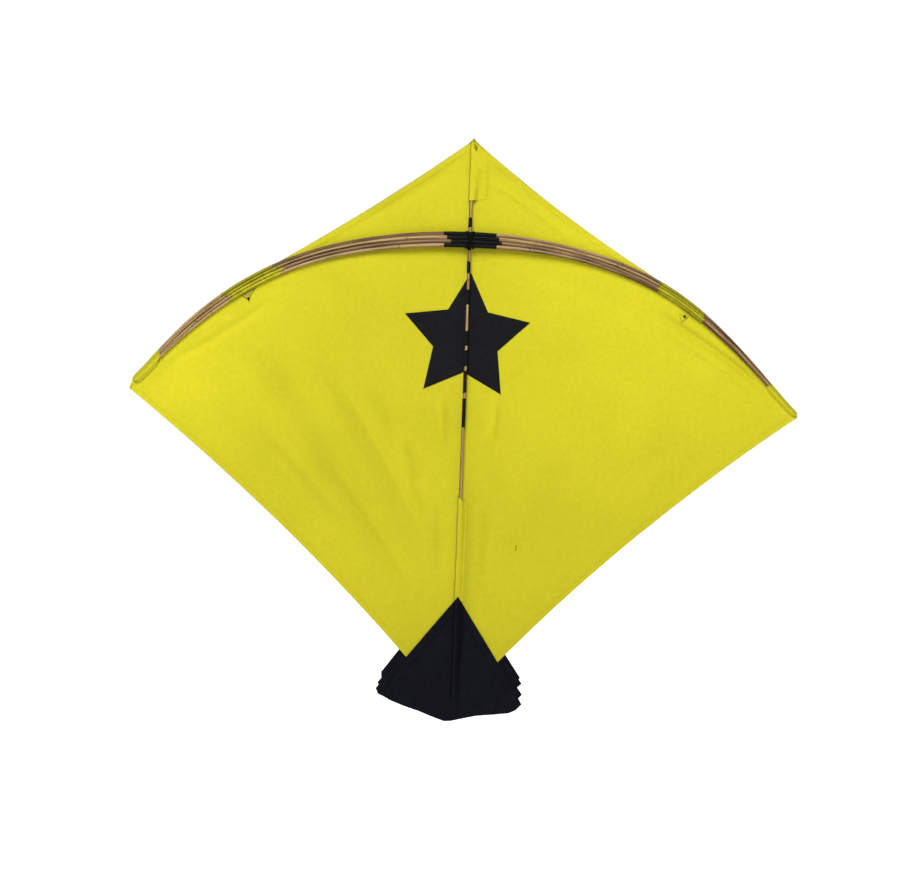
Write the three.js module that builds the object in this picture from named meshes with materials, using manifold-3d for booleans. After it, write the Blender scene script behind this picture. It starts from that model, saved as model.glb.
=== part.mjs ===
// A bowed fighter kite with a fan tail, seen from its frame side along +Y.
// Millimetres, +Z up towards the nose. The origin is where the bow crosses the spine, in the sail's plane.
// -Y is the frame side, where the spine, bow and star are. +Y is the smooth side, which faces the wind.
import * as THREE from 'three';
import { mergeVertices } from 'three/addons/utils/BufferGeometryUtils.js';
import Module from 'manifold-3d';

// ---- Driving dimensions ----

// Sail outline. Heights are z from the bow and spine crossing. The two halves differ a little.
const NOSE_Z = 100.3;
const NOSE_BLUNT = { halfWidth: 4, drop: 4.8 };
const LEADING_END_ARC = 192;
const LEADING_HOLLOW = { left: 2.7, right: 4 };
const TIP_CORNER = { left: [334.7, -163], right: [333.9, -166.3] };
const BOTTOM_CORNER_Z = -472;
const TRAILING_HOLLOW = { left: 11, right: 13 };
const SAIL_PAST_BOW = 0.5;

// Bow: half of it is one cubic curve from the crossing to the tip.
const BOW_HALF_SPAN = 331;
const BOW_DROP = 156.5;
const BOW_TIP_ANGLE = THREE.MathUtils.degToRad(43);
const BOW_CENTRE_HANDLE = 212;
const BOW_TIP_HANDLE = 73.5;

// How far the real bow leans out of that curve on each side, as [arc, out].
const BOW_LEAN = {
  left: [[0, -1.9], [50, -1.7], [100, -1.2], [180, 1], [300, 2.4], [340, 2.1], [376, 0.6]],
  right: [[0, -1.9], [60, -1.6], [120, -1.3], [190, -1.1], [225, -1.7], [280, -3.6], [384, -4]],
};

// Bow strands: radius and spacing, as [arc, value], both fall towards the tips.
const STRAND_COUNT = 4;
const STRAND_RADIUS = { left: [[0, 1.5], [376, 0.6]], right: [[0, 1.5], [300, 0.75], [384, 0.47]] };
const STRAND_SPACING = {
  left: [[0, 4], [34, 3.9], [180, 3.3], [300, 2.8], [340, 1.85], [376, 1.35]],
  right: [[0, 4], [34, 3.85], [100, 3.2], [180, 3], [254, 2.4], [300, 1.75], [384, 1.05]],
};
const STRAND_END = { left: 376, right: 384 };
const STRAND_DEPTH = { centre: -6.6, wing: -2.6 };
const STRAND_DOWN_ARC = 200;

// Sleeves, given as [from, to] along the bow, one for each strand from the outer one inwards.
const SLEEVE_CLEARANCE = 0.07;
const CENTRE_SLEEVE_WALL = 0.3;
const POCKET_SLEEVE_WALL = 0.15;
const CENTRE_SLEEVES = [[-26, 26], [-23, 29], [-19, 32], [-26, 27]];
const POCKET_SLEEVES = {
  left: [[-257, -199], [-254, -196], [-249, -189], [-254, -195]],
  right: [[195, 251], [196, 252], [197, 254], [198, 254]],
};
const THREAD_RADIUS = 0.35;

// One loop of the lashing, as [x, y, z] about the crossing: in front, down a side, behind and back up.
const LASHING_FRONT = -9.4;
const LASHING_BEHIND = -0.87;
const LASHING_PLACES = [
  [-4.5, LASHING_FRONT, 5.8], [4.5, LASHING_FRONT, -9.4], [5.6, -6.8, -11.4], [5.8, -4, -11.6],
  [5, -1.6, -9.6], [3, LASHING_BEHIND, -6.4], [-3, LASHING_BEHIND, 3.6], [-5, -1.6, 6.6],
  [-5.8, -4, 8.4], [-5.6, -6.8, 8.1],
];
const TIP_POCKET = { reach: 36, past: 3, gap: 0.25, depth: 2.8, wall: 0.4 };

// Spine: a split cane on the frame side of the sail. It bends a little sideways, as [z, x].
const SPINE = { width: 3, front: -4.2, back: -1.5, top: 95, bottom: -458 };
const SPINE_BEND = [[-458, 1], [-300, 0.7], [-150, 0.6], [-30, -0.3], [30, -0.6], [95, -0.8]];
const BAND = { clearance: 0.1, wall: 0.25 };
const BANDS = [
  [20.5, 10.9], [-8.5, -12], [-23.5, -35], [-51.5, -66.2],
  [-92.9, -107.5], [-111.9, -128], [-132.5, -154.5], [-160.3, -189],
];
const COVER = { ridgeHalf: 2.1, baseHalf: 5, edgeHalf: 6, front: -4.8, wall: 0.35 };
const COVER_SPANS = { upper: [37.7, 92], lower: [-357, -260] };

// Cloth layers, as [front, back] in y. Plies behind the sail are 0.6 apart.
const SAIL_LAYER = [-0.25, 0.25];
const FRONT_LAYER = [-0.85, -0.55];
const BACK_LAYER = [0.55, 0.85];
const PLY_STEP = 0.6;

// Star patch, under the spine.
const STAR = { z: -100, outer: 66, inner: 34, turn: THREE.MathUtils.degToRad(2) };

// Nose patch on the smooth side, and the stitched tabs beside the pocket sleeves.
const NOSE_PATCH = { drop: 20, halfWidth: 13, margin: 1 };
const TABS = {
  left: [[-227, -66.8], [-219, -70.2], [-211.5, -57.5]],
  right: [[211.5, -66.8], [214.5, -75.5], [221.5, -70.2]],
};

// Wings flex about upright lines beside the star.
const WING_LINE_X = 70;
const STRAND_GAP = 1.2;
const SAIL_GAP = 1.0;

// Tail: four plies fanned about the sail's bottom corner. Points are [x, z].
const TAIL_FRONT = [
  [2.3, -358.5], [-47.6, -421.3], [-68, -457], [-63, -464], [-34, -475],
  [-7, -483.5], [24, -477], [57, -473], [70, -463.4], [44.2, -422],
];
const TAIL_REAR = [
  [[0, -353], [-76.3, -453], [-74, -458], [-58, -465], [0, -477], [58, -468], [70.3, -454]],
  [[0, -347], [-74.7, -446], [-73, -452], [-56, -460], [0, -471], [56, -462], [69.4, -443]],
  [[0, -341], [-71.5, -436.6], [-71.5, -442], [-54, -454], [0, -465], [54, -456], [67.5, -437]],
];
const TAIL_RIDGE = { ridgeHalf: 2.6, baseHalf: 12, edgeHalf: 90, front: -5.2, wall: 0.3 };

// Each side of the tail flutters about a line from the sail's edge to the tail's lowest point.
const TAIL_LINE = { outerX: 54, outerZ: -413, lowZ: -484 };
const TAIL_GAP = 1.6;
const TAIL_SPAN = [-490, -340];

// ---- Materials ----

const cloth = (color) => new THREE.MeshStandardMaterial({ color, roughness: 0.75, metalness: 0 });
const yellowCloth = cloth(0xddd52f);
const blackCloth = cloth(0x17171f);
const blackTape = new THREE.MeshStandardMaterial({ color: 0x1c1a1a, roughness: 0.45, metalness: 0 });
const blackThread = new THREE.MeshStandardMaterial({ color: 0x121212, roughness: 0.85, metalness: 0 });
const bamboo = new THREE.MeshStandardMaterial({ color: 0xb48a5a, roughness: 0.5, metalness: 0 });

// ---- Scene graph helpers ----

const wasm = await Module();
wasm.setup();

const kite = new THREE.Group();
kite.name = 'fighter_kite';

function add(name, geometry, material) {
  const mesh = new THREE.Mesh(geometry, material);
  mesh.name = name;
  kite.add(mesh);
}

function toSolid(geometry) {
  const bare = geometry.clone();
  bare.deleteAttribute('normal');
  bare.deleteAttribute('uv');
  const merged = mergeVertices(bare, 1e-5);
  return new wasm.Manifold(new wasm.Mesh({
    numProp: 3,
    vertProperties: new Float32Array(merged.attributes.position.array),
    triVerts: new Uint32Array(merged.index.array),
  }));
}

function toGeometry(solid) {
  const { vertProperties, triVerts } = solid.getMesh();
  const geometry = new THREE.BufferGeometry();
  geometry.setAttribute('position', new THREE.BufferAttribute(vertProperties, 3));
  geometry.setIndex(new THREE.BufferAttribute(triVerts, 1));
  return geometry;
}

// ---- Plates and plane outlines ----

const mirrored = (points) => points.map(([x, z]) => [-x, z]).reverse();

// A flat plate of the outline [x, z], between layer[0] and layer[1] in y.
function plate(outline, [front, back]) {
  const shape = new THREE.Shape(outline.map(([x, z]) => new THREE.Vector2(x, z)));
  const geometry = new THREE.ExtrudeGeometry(shape, { depth: back - front, bevelEnabled: false });
  return geometry.rotateX(Math.PI / 2).translate(0, back, 0);
}

// The part of an outline on the left of the directed line a-b, at least `inset` away from it.
function leftOf(outline, a, b, inset) {
  const length = Math.hypot(b[0] - a[0], b[1] - a[1]);
  const side = ([x, z]) => ((b[0] - a[0]) * (z - a[1]) - (b[1] - a[1]) * (x - a[0])) / length - inset;
  const kept = [];
  outline.forEach((point, i) => {
    const next = outline[(i + 1) % outline.length];
    const here = side(point);
    const there = side(next);
    if (here >= 0) kept.push(point);
    if (here >= 0 !== there >= 0) {
      const t = here / (here - there);
      kept.push([point[0] + t * (next[0] - point[0]), point[1] + t * (next[1] - point[1])]);
    }
  });
  return kept;
}

// The value at `at` on a line through the knots [place, value], held level past its ends.
function lineThrough(knots, at) {
  const next = knots.findIndex(([place]) => place > at);
  if (next < 0) return knots.at(-1)[1];
  const [from, to] = [knots[Math.max(next - 1, 0)], knots[next]];
  return from === to ? to[1] : THREE.MathUtils.mapLinear(at, from[0], to[0], from[1], to[1]);
}

// A cloth strip over the spine: a ridge in front, down to a flat edge on each side.
function tent({ ridgeHalf, baseHalf, edgeHalf, front, wall }, [bottom, top]) {
  const [base] = FRONT_LAYER;
  const half = [[ridgeHalf, front], [baseHalf, base], [edgeHalf, base]];
  const under = half.map(([x, y]) => [x, y + wall]).reverse();
  const right = [...half, ...under];
  const left = right.map(([x, y]) => [-x, y]).reverse();
  const shape = new THREE.Shape([...right, ...left].map(([x, y]) => new THREE.Vector2(x, y)));
  const depth = top - bottom;
  const middle = lineThrough(SPINE_BEND, (top + bottom) / 2);
  return new THREE.ExtrudeGeometry(shape, { depth, bevelEnabled: false }).translate(middle, 0, bottom);
}

// ---- The bow's line ----

const tipHandle = [Math.cos(BOW_TIP_ANGLE) * BOW_TIP_HANDLE, Math.sin(BOW_TIP_ANGLE) * BOW_TIP_HANDLE];
const halfBow = new THREE.CubicBezierCurve(
  new THREE.Vector2(0, 0),
  new THREE.Vector2(BOW_CENTRE_HANDLE, 0),
  new THREE.Vector2(BOW_HALF_SPAN - tipHandle[0], -BOW_DROP + tipHandle[1]),
  new THREE.Vector2(BOW_HALF_SPAN, -BOW_DROP),
);
halfBow.arcLengthDivisions = 800;
const HALF_ARC = halfBow.getLength();

// The value at a signed arc of a quantity that is given as [arc, value] for each side.
const onSide = (knots, arc) => lineThrough(arc < 0 ? knots.left : knots.right, Math.abs(arc));

// The place at a signed arc from the crossing, and the outward direction there, in the sail's plane.
function bowAt(arc) {
  const side = arc < 0 ? -1 : 1;
  const u = Math.abs(arc) / HALF_ARC;
  const inside = Math.min(u, 1);
  const point = halfBow.getPointAt(inside);
  const tangent = halfBow.getTangentAt(inside);
  point.addScaledVector(tangent, (u - inside) * HALF_ARC);
  const lean = onSide(BOW_LEAN, arc);
  point.add(new THREE.Vector2(-tangent.y, tangent.x).multiplyScalar(lean));
  return { x: side * point.x, z: point.y, outX: -side * tangent.y, outZ: tangent.x };
}

const strandRadius = (arc) => onSide(STRAND_RADIUS, arc);
const strandSpacing = (arc) => onSide(STRAND_SPACING, arc);

function strandDepth(arc) {
  const share = Math.min(Math.abs(arc) / STRAND_DOWN_ARC, 1);
  const high = 0.5 + 0.5 * Math.cos(Math.PI * share);
  return THREE.MathUtils.lerp(STRAND_DEPTH.wing, STRAND_DEPTH.centre, high);
}

const bundleHalf = (arc) => (STRAND_COUNT - 1) / 2 * strandSpacing(arc) + strandRadius(arc);
const strandRow = (index) => (STRAND_COUNT - 1) / 2 - index;

// Lays a geometry along the bow: its y becomes the arc, x the way out and z the depth.
// row counts spacings out from the bundle's middle.
function alongBow(geometry, row) {
  const position = geometry.attributes.position;
  for (let i = 0; i < position.count; i += 1) {
    const arc = position.getY(i);
    const place = bowAt(arc);
    const out = position.getX(i) + row * strandSpacing(arc);
    const x = place.x + out * place.outX;
    const z = place.z + out * place.outZ;
    position.setXYZ(i, x, position.getZ(i) + strandDepth(arc), z);
  }
  return geometry;
}

// ---- Sail ----

// One half of the outline from the nose's side to the bottom corner, with x counted away from the spine.
function halfOutline(side) {
  const sign = side === 'left' ? -1 : 1;
  const bowOuter = (far) => {
    const place = bowAt(sign * far);
    const out = bundleHalf(sign * far) + SAIL_PAST_BOW;
    return [sign * (place.x + out * place.outX), place.z + out * place.outZ];
  };
  const hollow = ([x0, z0], [x1, z1], sag) => {
    const length = Math.hypot(x1 - x0, z1 - z0);
    return [(x0 + x1) / 2 + 2 * sag * (z1 - z0) / length, (z0 + z1) / 2 - 2 * sag * (x1 - x0) / length];
  };
  const bluntPoint = [NOSE_BLUNT.halfWidth, NOSE_Z - NOSE_BLUNT.drop];
  const bowPoint = bowOuter(LEADING_END_ARC);
  const path = new THREE.Path();
  path.moveTo(...bluntPoint);
  path.quadraticCurveTo(...hollow(bluntPoint, bowPoint, LEADING_HOLLOW[side]), ...bowPoint);
  const bowSteps = 12;
  for (let step = 1; step <= bowSteps; step += 1) {
    path.lineTo(...bowOuter(THREE.MathUtils.lerp(LEADING_END_ARC, STRAND_END[side], step / bowSteps)));
  }
  const corner = TIP_CORNER[side];
  const bottom = [0, BOTTOM_CORNER_Z];
  path.lineTo(...corner);
  path.quadraticCurveTo(...hollow(corner, bottom, TRAILING_HOLLOW[side]), ...bottom);
  return path.getPoints(10).map(({ x, y }) => [x, y]).slice(0, -1);
}

function addSail() {
  const ends = { nose: [0, NOSE_Z], bottom: [0, BOTTOM_CORNER_Z] };
  const whole = [ends.nose, ...halfOutline('right'), ends.bottom, ...mirrored(halfOutline('left'))];
  const inset = SAIL_GAP / 2;
  const rightLine = [[WING_LINE_X, 0], [WING_LINE_X, 1]];
  const leftLine = [[-WING_LINE_X, 1], [-WING_LINE_X, 0]];
  const narrowed = leftOf(whole, ...rightLine, inset);
  add('sail_centre', plate(leftOf(narrowed, ...leftLine, inset), SAIL_LAYER), yellowCloth);
  add('sail_right', plate(leftOf(whole, rightLine[1], rightLine[0], inset), SAIL_LAYER), yellowCloth);
  add('sail_left', plate(leftOf(whole, leftLine[1], leftLine[0], inset), SAIL_LAYER), yellowCloth);
}

// ---- Patches ----

function addStar() {
  const points = [];
  for (let i = 0; i < 10; i += 1) {
    const angle = Math.PI / 2 - STAR.turn - i * Math.PI / 5;
    const radius = i % 2 ? STAR.inner : STAR.outer;
    points.push([radius * Math.cos(angle), STAR.z + radius * Math.sin(angle)]);
  }
  add('star_patch', plate(points, FRONT_LAYER), blackCloth);
}

function addNosePatch() {
  const { drop, halfWidth, margin } = NOSE_PATCH;
  const low = NOSE_Z - drop;
  const points = [[0, NOSE_Z - margin], [-halfWidth, low], [halfWidth, low]];
  add('nose_patch', plate(points, BACK_LAYER), yellowCloth);
}

function addPocketTabs() {
  for (const [side, tab] of Object.entries(TABS)) {
    add(`pocket_tab_${side}`, plate(tab, FRONT_LAYER), yellowCloth);
  }
}

// ---- Spine ----

function addSpine() {
  const { width, front, back, top, bottom } = SPINE;
  const body = new THREE.BoxGeometry(width, back - front, top - bottom, 1, 1, 12);
  body.translate(0, (front + back) / 2, (top + bottom) / 2);
  const position = body.attributes.position;
  for (let i = 0; i < position.count; i += 1) {
    position.setX(i, position.getX(i) + lineThrough(SPINE_BEND, position.getZ(i)));
  }
  add('spine', body, bamboo);
}

const box = (halfX, front, back) => [[-halfX, front], [halfX, front], [halfX, back], [-halfX, back]]
  .map(([x, y]) => new THREE.Vector2(x, y));

function addSpineBands() {
  const inner = BAND.clearance;
  const outer = BAND.clearance + BAND.wall;
  BANDS.forEach(([top, bottom], i) => {
    const shape = new THREE.Shape(box(SPINE.width / 2 + outer, SPINE.front - outer, SPINE.back + outer));
    shape.holes.push(new THREE.Path(box(SPINE.width / 2 + inner, SPINE.front - inner, SPINE.back + inner)));
    const ring = new THREE.ExtrudeGeometry(shape, { depth: top - bottom, bevelEnabled: false });
    const middle = lineThrough(SPINE_BEND, (top + bottom) / 2);
    add(`spine_band_${i + 1}`, ring.translate(middle, 0, bottom), blackTape);
  });
}

function addSpineCovers() {
  for (const [place, span] of Object.entries(COVER_SPANS)) {
    add(`spine_cover_${place}`, tent(COVER, span), yellowCloth);
  }
}

// ---- Bow ----

function strand(from, to, row) {
  const steps = Math.ceil((to - from) / 12);
  const body = new THREE.CylinderGeometry(strandRadius(to), strandRadius(from), to - from, 8, steps);
  return alongBow(body.translate(0, (from + to) / 2, 0), row);
}

function sleeve([from, to], wall, row) {
  const steps = Math.ceil((to - from) / 12);
  const stations = Array.from({ length: steps + 1 }, (_, i) => THREE.MathUtils.lerp(from, to, i / steps));
  const profile = (gap) => stations.map((arc) => new THREE.Vector2(strandRadius(arc) + gap, arc));
  const inner = profile(SLEEVE_CLEARANCE).reverse();
  const outer = profile(SLEEVE_CLEARANCE + wall);
  const ring = new THREE.LatheGeometry([...outer, ...inner, outer[0]], 8);
  return alongBow(ring, row);
}

function addStrands() {
  const near = WING_LINE_X + STRAND_GAP / 2;
  const middle = WING_LINE_X - STRAND_GAP / 2;
  for (let i = 0; i < STRAND_COUNT; i += 1) {
    const row = strandRow(i);
    add(`bow_strand_centre_${i + 1}`, strand(-middle, middle, row), bamboo);
    add(`bow_strand_left_${i + 1}`, strand(-STRAND_END.left, -near, row), bamboo);
    add(`bow_strand_right_${i + 1}`, strand(near, STRAND_END.right, row), bamboo);
  }
}

function addSleeves() {
  for (let i = 0; i < STRAND_COUNT; i += 1) {
    const row = strandRow(i);
    add(`centre_sleeve_${i + 1}`, sleeve(CENTRE_SLEEVES[i], CENTRE_SLEEVE_WALL, row), blackTape);
    for (const side of ['left', 'right']) {
      const span = POCKET_SLEEVES[side][i];
      add(`pocket_sleeve_${side}_${i + 1}`, sleeve(span, POCKET_SLEEVE_WALL, row), yellowCloth);
    }
  }
}

// A block along the bow from one signed arc to another, `around` wider than the strands on each side.
function bundleBlock(from, to, around, depth) {
  const body = new THREE.BoxGeometry(2, to - from, depth, 1, 6, 1).translate(0, (from + to) / 2, 0);
  const position = body.attributes.position;
  for (let i = 0; i < position.count; i += 1) {
    position.setX(i, position.getX(i) * (bundleHalf(position.getY(i)) + around));
  }
  return toSolid(alongBow(body, 0));
}

// A cloth pocket over the four strand ends, open towards the crossing.
function addTipPockets() {
  const { reach, past, gap, depth, wall } = TIP_POCKET;
  for (const [side, end] of Object.entries(STRAND_END)) {
    const sign = side === 'left' ? -1 : 1;
    const span = (mouth, closed) => [sign * mouth, sign * closed].sort((a, b) => a - b);
    const outer = bundleBlock(...span(end - reach, end + past), gap + wall, depth);
    const inner = bundleBlock(...span(end - reach - 2, end + past - wall), gap, depth - 2 * wall);
    add(`tip_pocket_${side}`, toGeometry(outer.subtract(inner)), yellowCloth);
  }
}

// Two crossing loops of thread round the sleeves in front and the spine behind.
function addLashing() {
  const loop = (side) => {
    const points = LASHING_PLACES.map(([x, y, z]) => new THREE.Vector3(side * x, y, z));
    const line = new THREE.CatmullRomCurve3(points, true, 'centripetal');
    return new THREE.TubeGeometry(line, 48, THREAD_RADIUS, 6, true);
  };
  add('bow_lashing', toGeometry(toSolid(loop(1)).add(toSolid(loop(-1)))), blackThread);
}

// ---- Tail ----

// The lines that each side of the tail flutters about, directed so that the middle is on their left.
const rightTailLine = [[0, TAIL_LINE.lowZ], [TAIL_LINE.outerX, TAIL_LINE.outerZ]];
const leftTailLine = [[-TAIL_LINE.outerX, TAIL_LINE.outerZ], [0, TAIL_LINE.lowZ]];

function splitPly(outline) {
  const inset = TAIL_GAP / 2;
  return {
    root: leftOf(leftOf(outline, ...rightTailLine, inset), ...leftTailLine, inset),
    left: leftOf(outline, leftTailLine[1], leftTailLine[0], inset),
    right: leftOf(outline, rightTailLine[1], rightTailLine[0], inset),
  };
}

function addFrontPly() {
  const parts = splitPly(TAIL_FRONT);
  const draped = toSolid(tent(TAIL_RIDGE, TAIL_SPAN));
  const cut = toSolid(plate(parts.root, [TAIL_RIDGE.front - 1, 0]));
  add('tail_front_root', toGeometry(draped.intersect(cut)), blackCloth);
  add('tail_front_left', plate(parts.left, FRONT_LAYER), blackCloth);
  add('tail_front_right', plate(parts.right, FRONT_LAYER), blackCloth);
}

function addRearPlies() {
  TAIL_REAR.forEach((outline, i) => {
    const layer = BACK_LAYER.map((y) => y + i * PLY_STEP);
    for (const [place, part] of Object.entries(splitPly(outline))) {
      add(`tail_rear_${i + 1}_${place}`, plate(part, layer), blackCloth);
    }
  });
}

addSail();
addStar();
addNosePatch();
addPocketTabs();
addSpine();
addSpineBands();
addSpineCovers();
addStrands();
addSleeves();
addTipPockets();
addLashing();
addFrontPly();
addRearPlies();

export default kite;
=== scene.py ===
import math

import bpy
import numpy as np
from mathutils import Matrix, Vector


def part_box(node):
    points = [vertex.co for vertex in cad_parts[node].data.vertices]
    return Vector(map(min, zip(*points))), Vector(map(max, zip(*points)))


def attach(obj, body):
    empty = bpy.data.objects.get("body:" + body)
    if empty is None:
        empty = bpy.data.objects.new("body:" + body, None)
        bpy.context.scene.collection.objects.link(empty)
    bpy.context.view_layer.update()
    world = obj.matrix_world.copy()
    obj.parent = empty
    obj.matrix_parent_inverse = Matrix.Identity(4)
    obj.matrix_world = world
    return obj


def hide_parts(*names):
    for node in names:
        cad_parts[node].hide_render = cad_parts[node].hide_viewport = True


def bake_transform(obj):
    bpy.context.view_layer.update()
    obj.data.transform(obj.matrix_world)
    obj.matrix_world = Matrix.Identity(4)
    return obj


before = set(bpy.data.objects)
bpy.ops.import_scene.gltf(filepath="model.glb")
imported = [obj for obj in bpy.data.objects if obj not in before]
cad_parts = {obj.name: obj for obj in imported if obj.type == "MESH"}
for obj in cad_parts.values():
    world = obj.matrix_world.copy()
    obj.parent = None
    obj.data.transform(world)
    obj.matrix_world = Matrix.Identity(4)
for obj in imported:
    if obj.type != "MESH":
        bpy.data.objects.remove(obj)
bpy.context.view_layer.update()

MM = 0.001
TINY = 1e-9
SIDES = {"left": -1, "right": 1}

# ---- Driving dimensions, in millimetres ----


def box_mm(node):
    low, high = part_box(node)
    return np.array(low) / MM, np.array(high) / MM


NOSE_Z = box_mm("sail_centre")[1][2]
BOTTOM_Z = box_mm("sail_centre")[0][2]
TIP_CORNER = {"left": (334.7, -163.0), "right": (333.9, -166.3)}
NOSE_BLUNT = (4.0, 4.8)
LEADING_END_ARC = 192.0
LEADING_HOLLOW = {"left": 2.7, "right": 4.0}
TRAILING_HOLLOW = {"left": 11.0, "right": 13.0}
SAIL_PAST_BOW = 0.5
CLOTH = 0.22
PAINTED_SHADE_DEPTH = 0.15

BOW_HALF_SPAN = 331.0
BOW_DROP = 156.5
BOW_TIP_ANGLE = math.radians(43)
BOW_HANDLES = (212.0, 73.5)
BOW_LEAN = {
    "left": [(0, -1.9), (50, -1.7), (100, -1.2), (180, 1), (300, 2.4), (340, 2.1), (376, 0.6)],
    "right": [(0, -1.9), (60, -1.6), (120, -1.3), (190, -1.1), (225, -1.7), (280, -3.6), (384, -4)],
}
STRANDS = 4
STRAND_RADIUS = {"left": [(0, 1.56), (376, 0.66)], "right": [(0, 1.56), (300, 0.8), (384, 0.5)]}
STRAND_SPACING = {
    "left": [(0, 4), (34, 3.9), (180, 3.3), (300, 2.8), (340, 1.85), (376, 1.35)],
    "right": [(0, 4), (34, 3.85), (100, 3.2), (180, 3), (254, 2.4), (300, 1.75), (384, 1.05)],
}
STRAND_END = {"left": 376.0, "right": 384.0}
STRAND_DOWN_ARC = 200.0
STRAND_DEPTH = {"centre": -6.6, "wing": -2.6}
STRAND_RISE = STRAND_DEPTH["centre"] - STRAND_DEPTH["wing"]

SPINE_LOW, SPINE_HIGH = box_mm("spine")
SPINE_HALF = 1.5
SPINE_BEND = [(-458, 1.0), (-300, 0.7), (-150, 0.6), (-30, -0.3), (30, -0.6), (95, -0.8)]

TAIL_LINE = ((54.0, -413.0), (0.0, -484.0))


def smooth(a, b, x):
    t = np.clip((x - a) / (b - a), 0, 1)
    return t * t * (3 - 2 * t)


def run_along(line):
    """How far each point of a line is along it."""
    return np.concatenate([[0], np.cumsum(np.linalg.norm(np.diff(line, axis=0), axis=1))])


def signed_power(value, power):
    return np.sign(value) * np.abs(value) ** power


def round_angles(count):
    return np.linspace(0, 2 * np.pi, count, endpoint=False)


def bell(x, width):
    return np.exp(-((x / width) ** 2))


def between_knots(x, knots, column=1):
    """The value at x of a quantity given as rows of (place, value, ...)."""
    table = np.array(knots, float)
    return np.interp(x, table[:, 0], table[:, column])


def stacked(*values):
    """Coordinates of any shapes as one array of points."""
    return np.stack(np.broadcast_arrays(*values), axis=-1)


def spine_x(z):
    """The spine's middle, which bends a little sideways."""
    return between_knots(z, SPINE_BEND)


# ---- The bow's line ----


def bow_table():
    t = np.linspace(0, 1, 4001)[:, None]
    tip = np.array([BOW_HALF_SPAN, -BOW_DROP])
    back = BOW_HANDLES[1] * np.array([math.cos(BOW_TIP_ANGLE), -math.sin(BOW_TIP_ANGLE)])
    handles = [np.zeros(2), np.array([BOW_HANDLES[0], 0]), tip - back, tip]
    weights = [(1 - t) ** 3, 3 * t * (1 - t) ** 2, 3 * t * t * (1 - t), t ** 3]
    line = sum(w * h for w, h in zip(weights, handles))
    return line, run_along(line)


BOW_LINE, BOW_ARC = bow_table()
HALF_ARC = BOW_ARC[-1]
BOW_SLOPE = np.gradient(BOW_LINE, BOW_ARC, axis=0)
TABLE_ARCS = np.arange(-40.0, 441.0)
EASE = np.hanning(45) / np.hanning(45).sum()


def on_side(knots, arc):
    """The eased value at signed arcs of a quantity given as (arc, value) for each side."""
    values = []
    for side in SIDES:
        line = between_knots(np.abs(TABLE_ARCS), knots[side])
        eased = np.convolve(np.pad(line, 22, mode="edge"), EASE, mode="valid")
        values.append(np.interp(np.abs(arc), TABLE_ARCS, eased))
    return np.where(np.asarray(arc) < 0, *values)


def bow_at(arc):
    """x, z and the outward direction (x, z) at a signed arc from the crossing."""
    far = np.abs(arc)
    side = np.where(np.asarray(arc) < 0, -1.0, 1.0)
    inside = np.minimum(far, HALF_ARC)
    tx = np.interp(inside, BOW_ARC, BOW_SLOPE[:, 0])
    tz = np.interp(inside, BOW_ARC, BOW_SLOPE[:, 1])
    lean = on_side(BOW_LEAN, arc)
    x = np.interp(inside, BOW_ARC, BOW_LINE[:, 0]) + (far - inside) * tx - lean * tz
    z = np.interp(inside, BOW_ARC, BOW_LINE[:, 1]) + (far - inside) * tz + lean * tx
    return side * x, z, -side * tz, tx


def strand_radius(arc):
    return on_side(STRAND_RADIUS, arc)


def strand_spacing(arc):
    return on_side(STRAND_SPACING, arc)


def strand_depth(arc):
    share = np.clip(np.abs(arc) / STRAND_DOWN_ARC, 0, 1)
    return STRAND_DEPTH["wing"] + STRAND_RISE * (0.5 + 0.5 * np.cos(np.pi * share))


def bundle_half(arc):
    return (STRANDS - 1) / 2 * strand_spacing(arc) + strand_radius(arc)


def strand_row(index):
    return (STRANDS - 1) / 2 - index


# ---- The sail's outline and relief ----


def quadratic(a, b, sag, count=60):
    """Points of a curve from a to b that bows by sag to the right of the line a-b."""
    a, b = np.array(a, float), np.array(b, float)
    along = (b - a) / np.linalg.norm(b - a)
    middle = (a + b) / 2 + 2 * sag * np.array([along[1], -along[0]])
    t = np.linspace(0, 1, count)[:, None]
    return (1 - t) ** 2 * a + 2 * t * (1 - t) * middle + t * t * b


def half_outline(side):
    """The edges of one half, with x counted away from the spine: leading, whole top and trailing."""
    s = SIDES[side]
    arcs = s * np.linspace(LEADING_END_ARC, STRAND_END[side], 60)
    x, z, out_x, out_z = bow_at(arcs)
    out = bundle_half(arcs) + SAIL_PAST_BOW
    beside_bow = stacked(s * (x + out * out_x), z + out * out_z)
    blunt = (NOSE_BLUNT[0], NOSE_Z - NOSE_BLUNT[1])
    leading = quadratic(blunt, beside_bow[0], LEADING_HOLLOW[side])
    top = np.concatenate([[(0, NOSE_Z)], leading, beside_bow[1:], [TIP_CORNER[side]]])
    trailing = quadratic(TIP_CORNER[side], (0, BOTTOM_Z), TRAILING_HOLLOW[side], 120)
    return {"leading": leading, "top": top, "trailing": trailing}


OUTLINE = {side: half_outline(side) for side in SIDES}


def ripple(x, z, wave, seed, stretch=1.0, heading=0.0, count=18):
    """A smooth random field of about that wavelength, longer by stretch along its heading."""
    x, z = np.broadcast_arrays(x, z)
    rng = np.random.default_rng(seed)
    c, s = math.cos(heading), math.sin(heading)
    along, across = (x * c + z * s) / stretch, -x * s + z * c
    total = np.zeros(np.shape(x))
    for _ in range(count):
        angle, phase = rng.uniform(0, 2 * np.pi, 2)
        pitch = 2 * np.pi / (wave * rng.uniform(0.7, 1.5))
        total += np.cos(pitch * (along * math.cos(angle) + across * math.sin(angle)) + phase)
    return total / math.sqrt(count)


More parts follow.
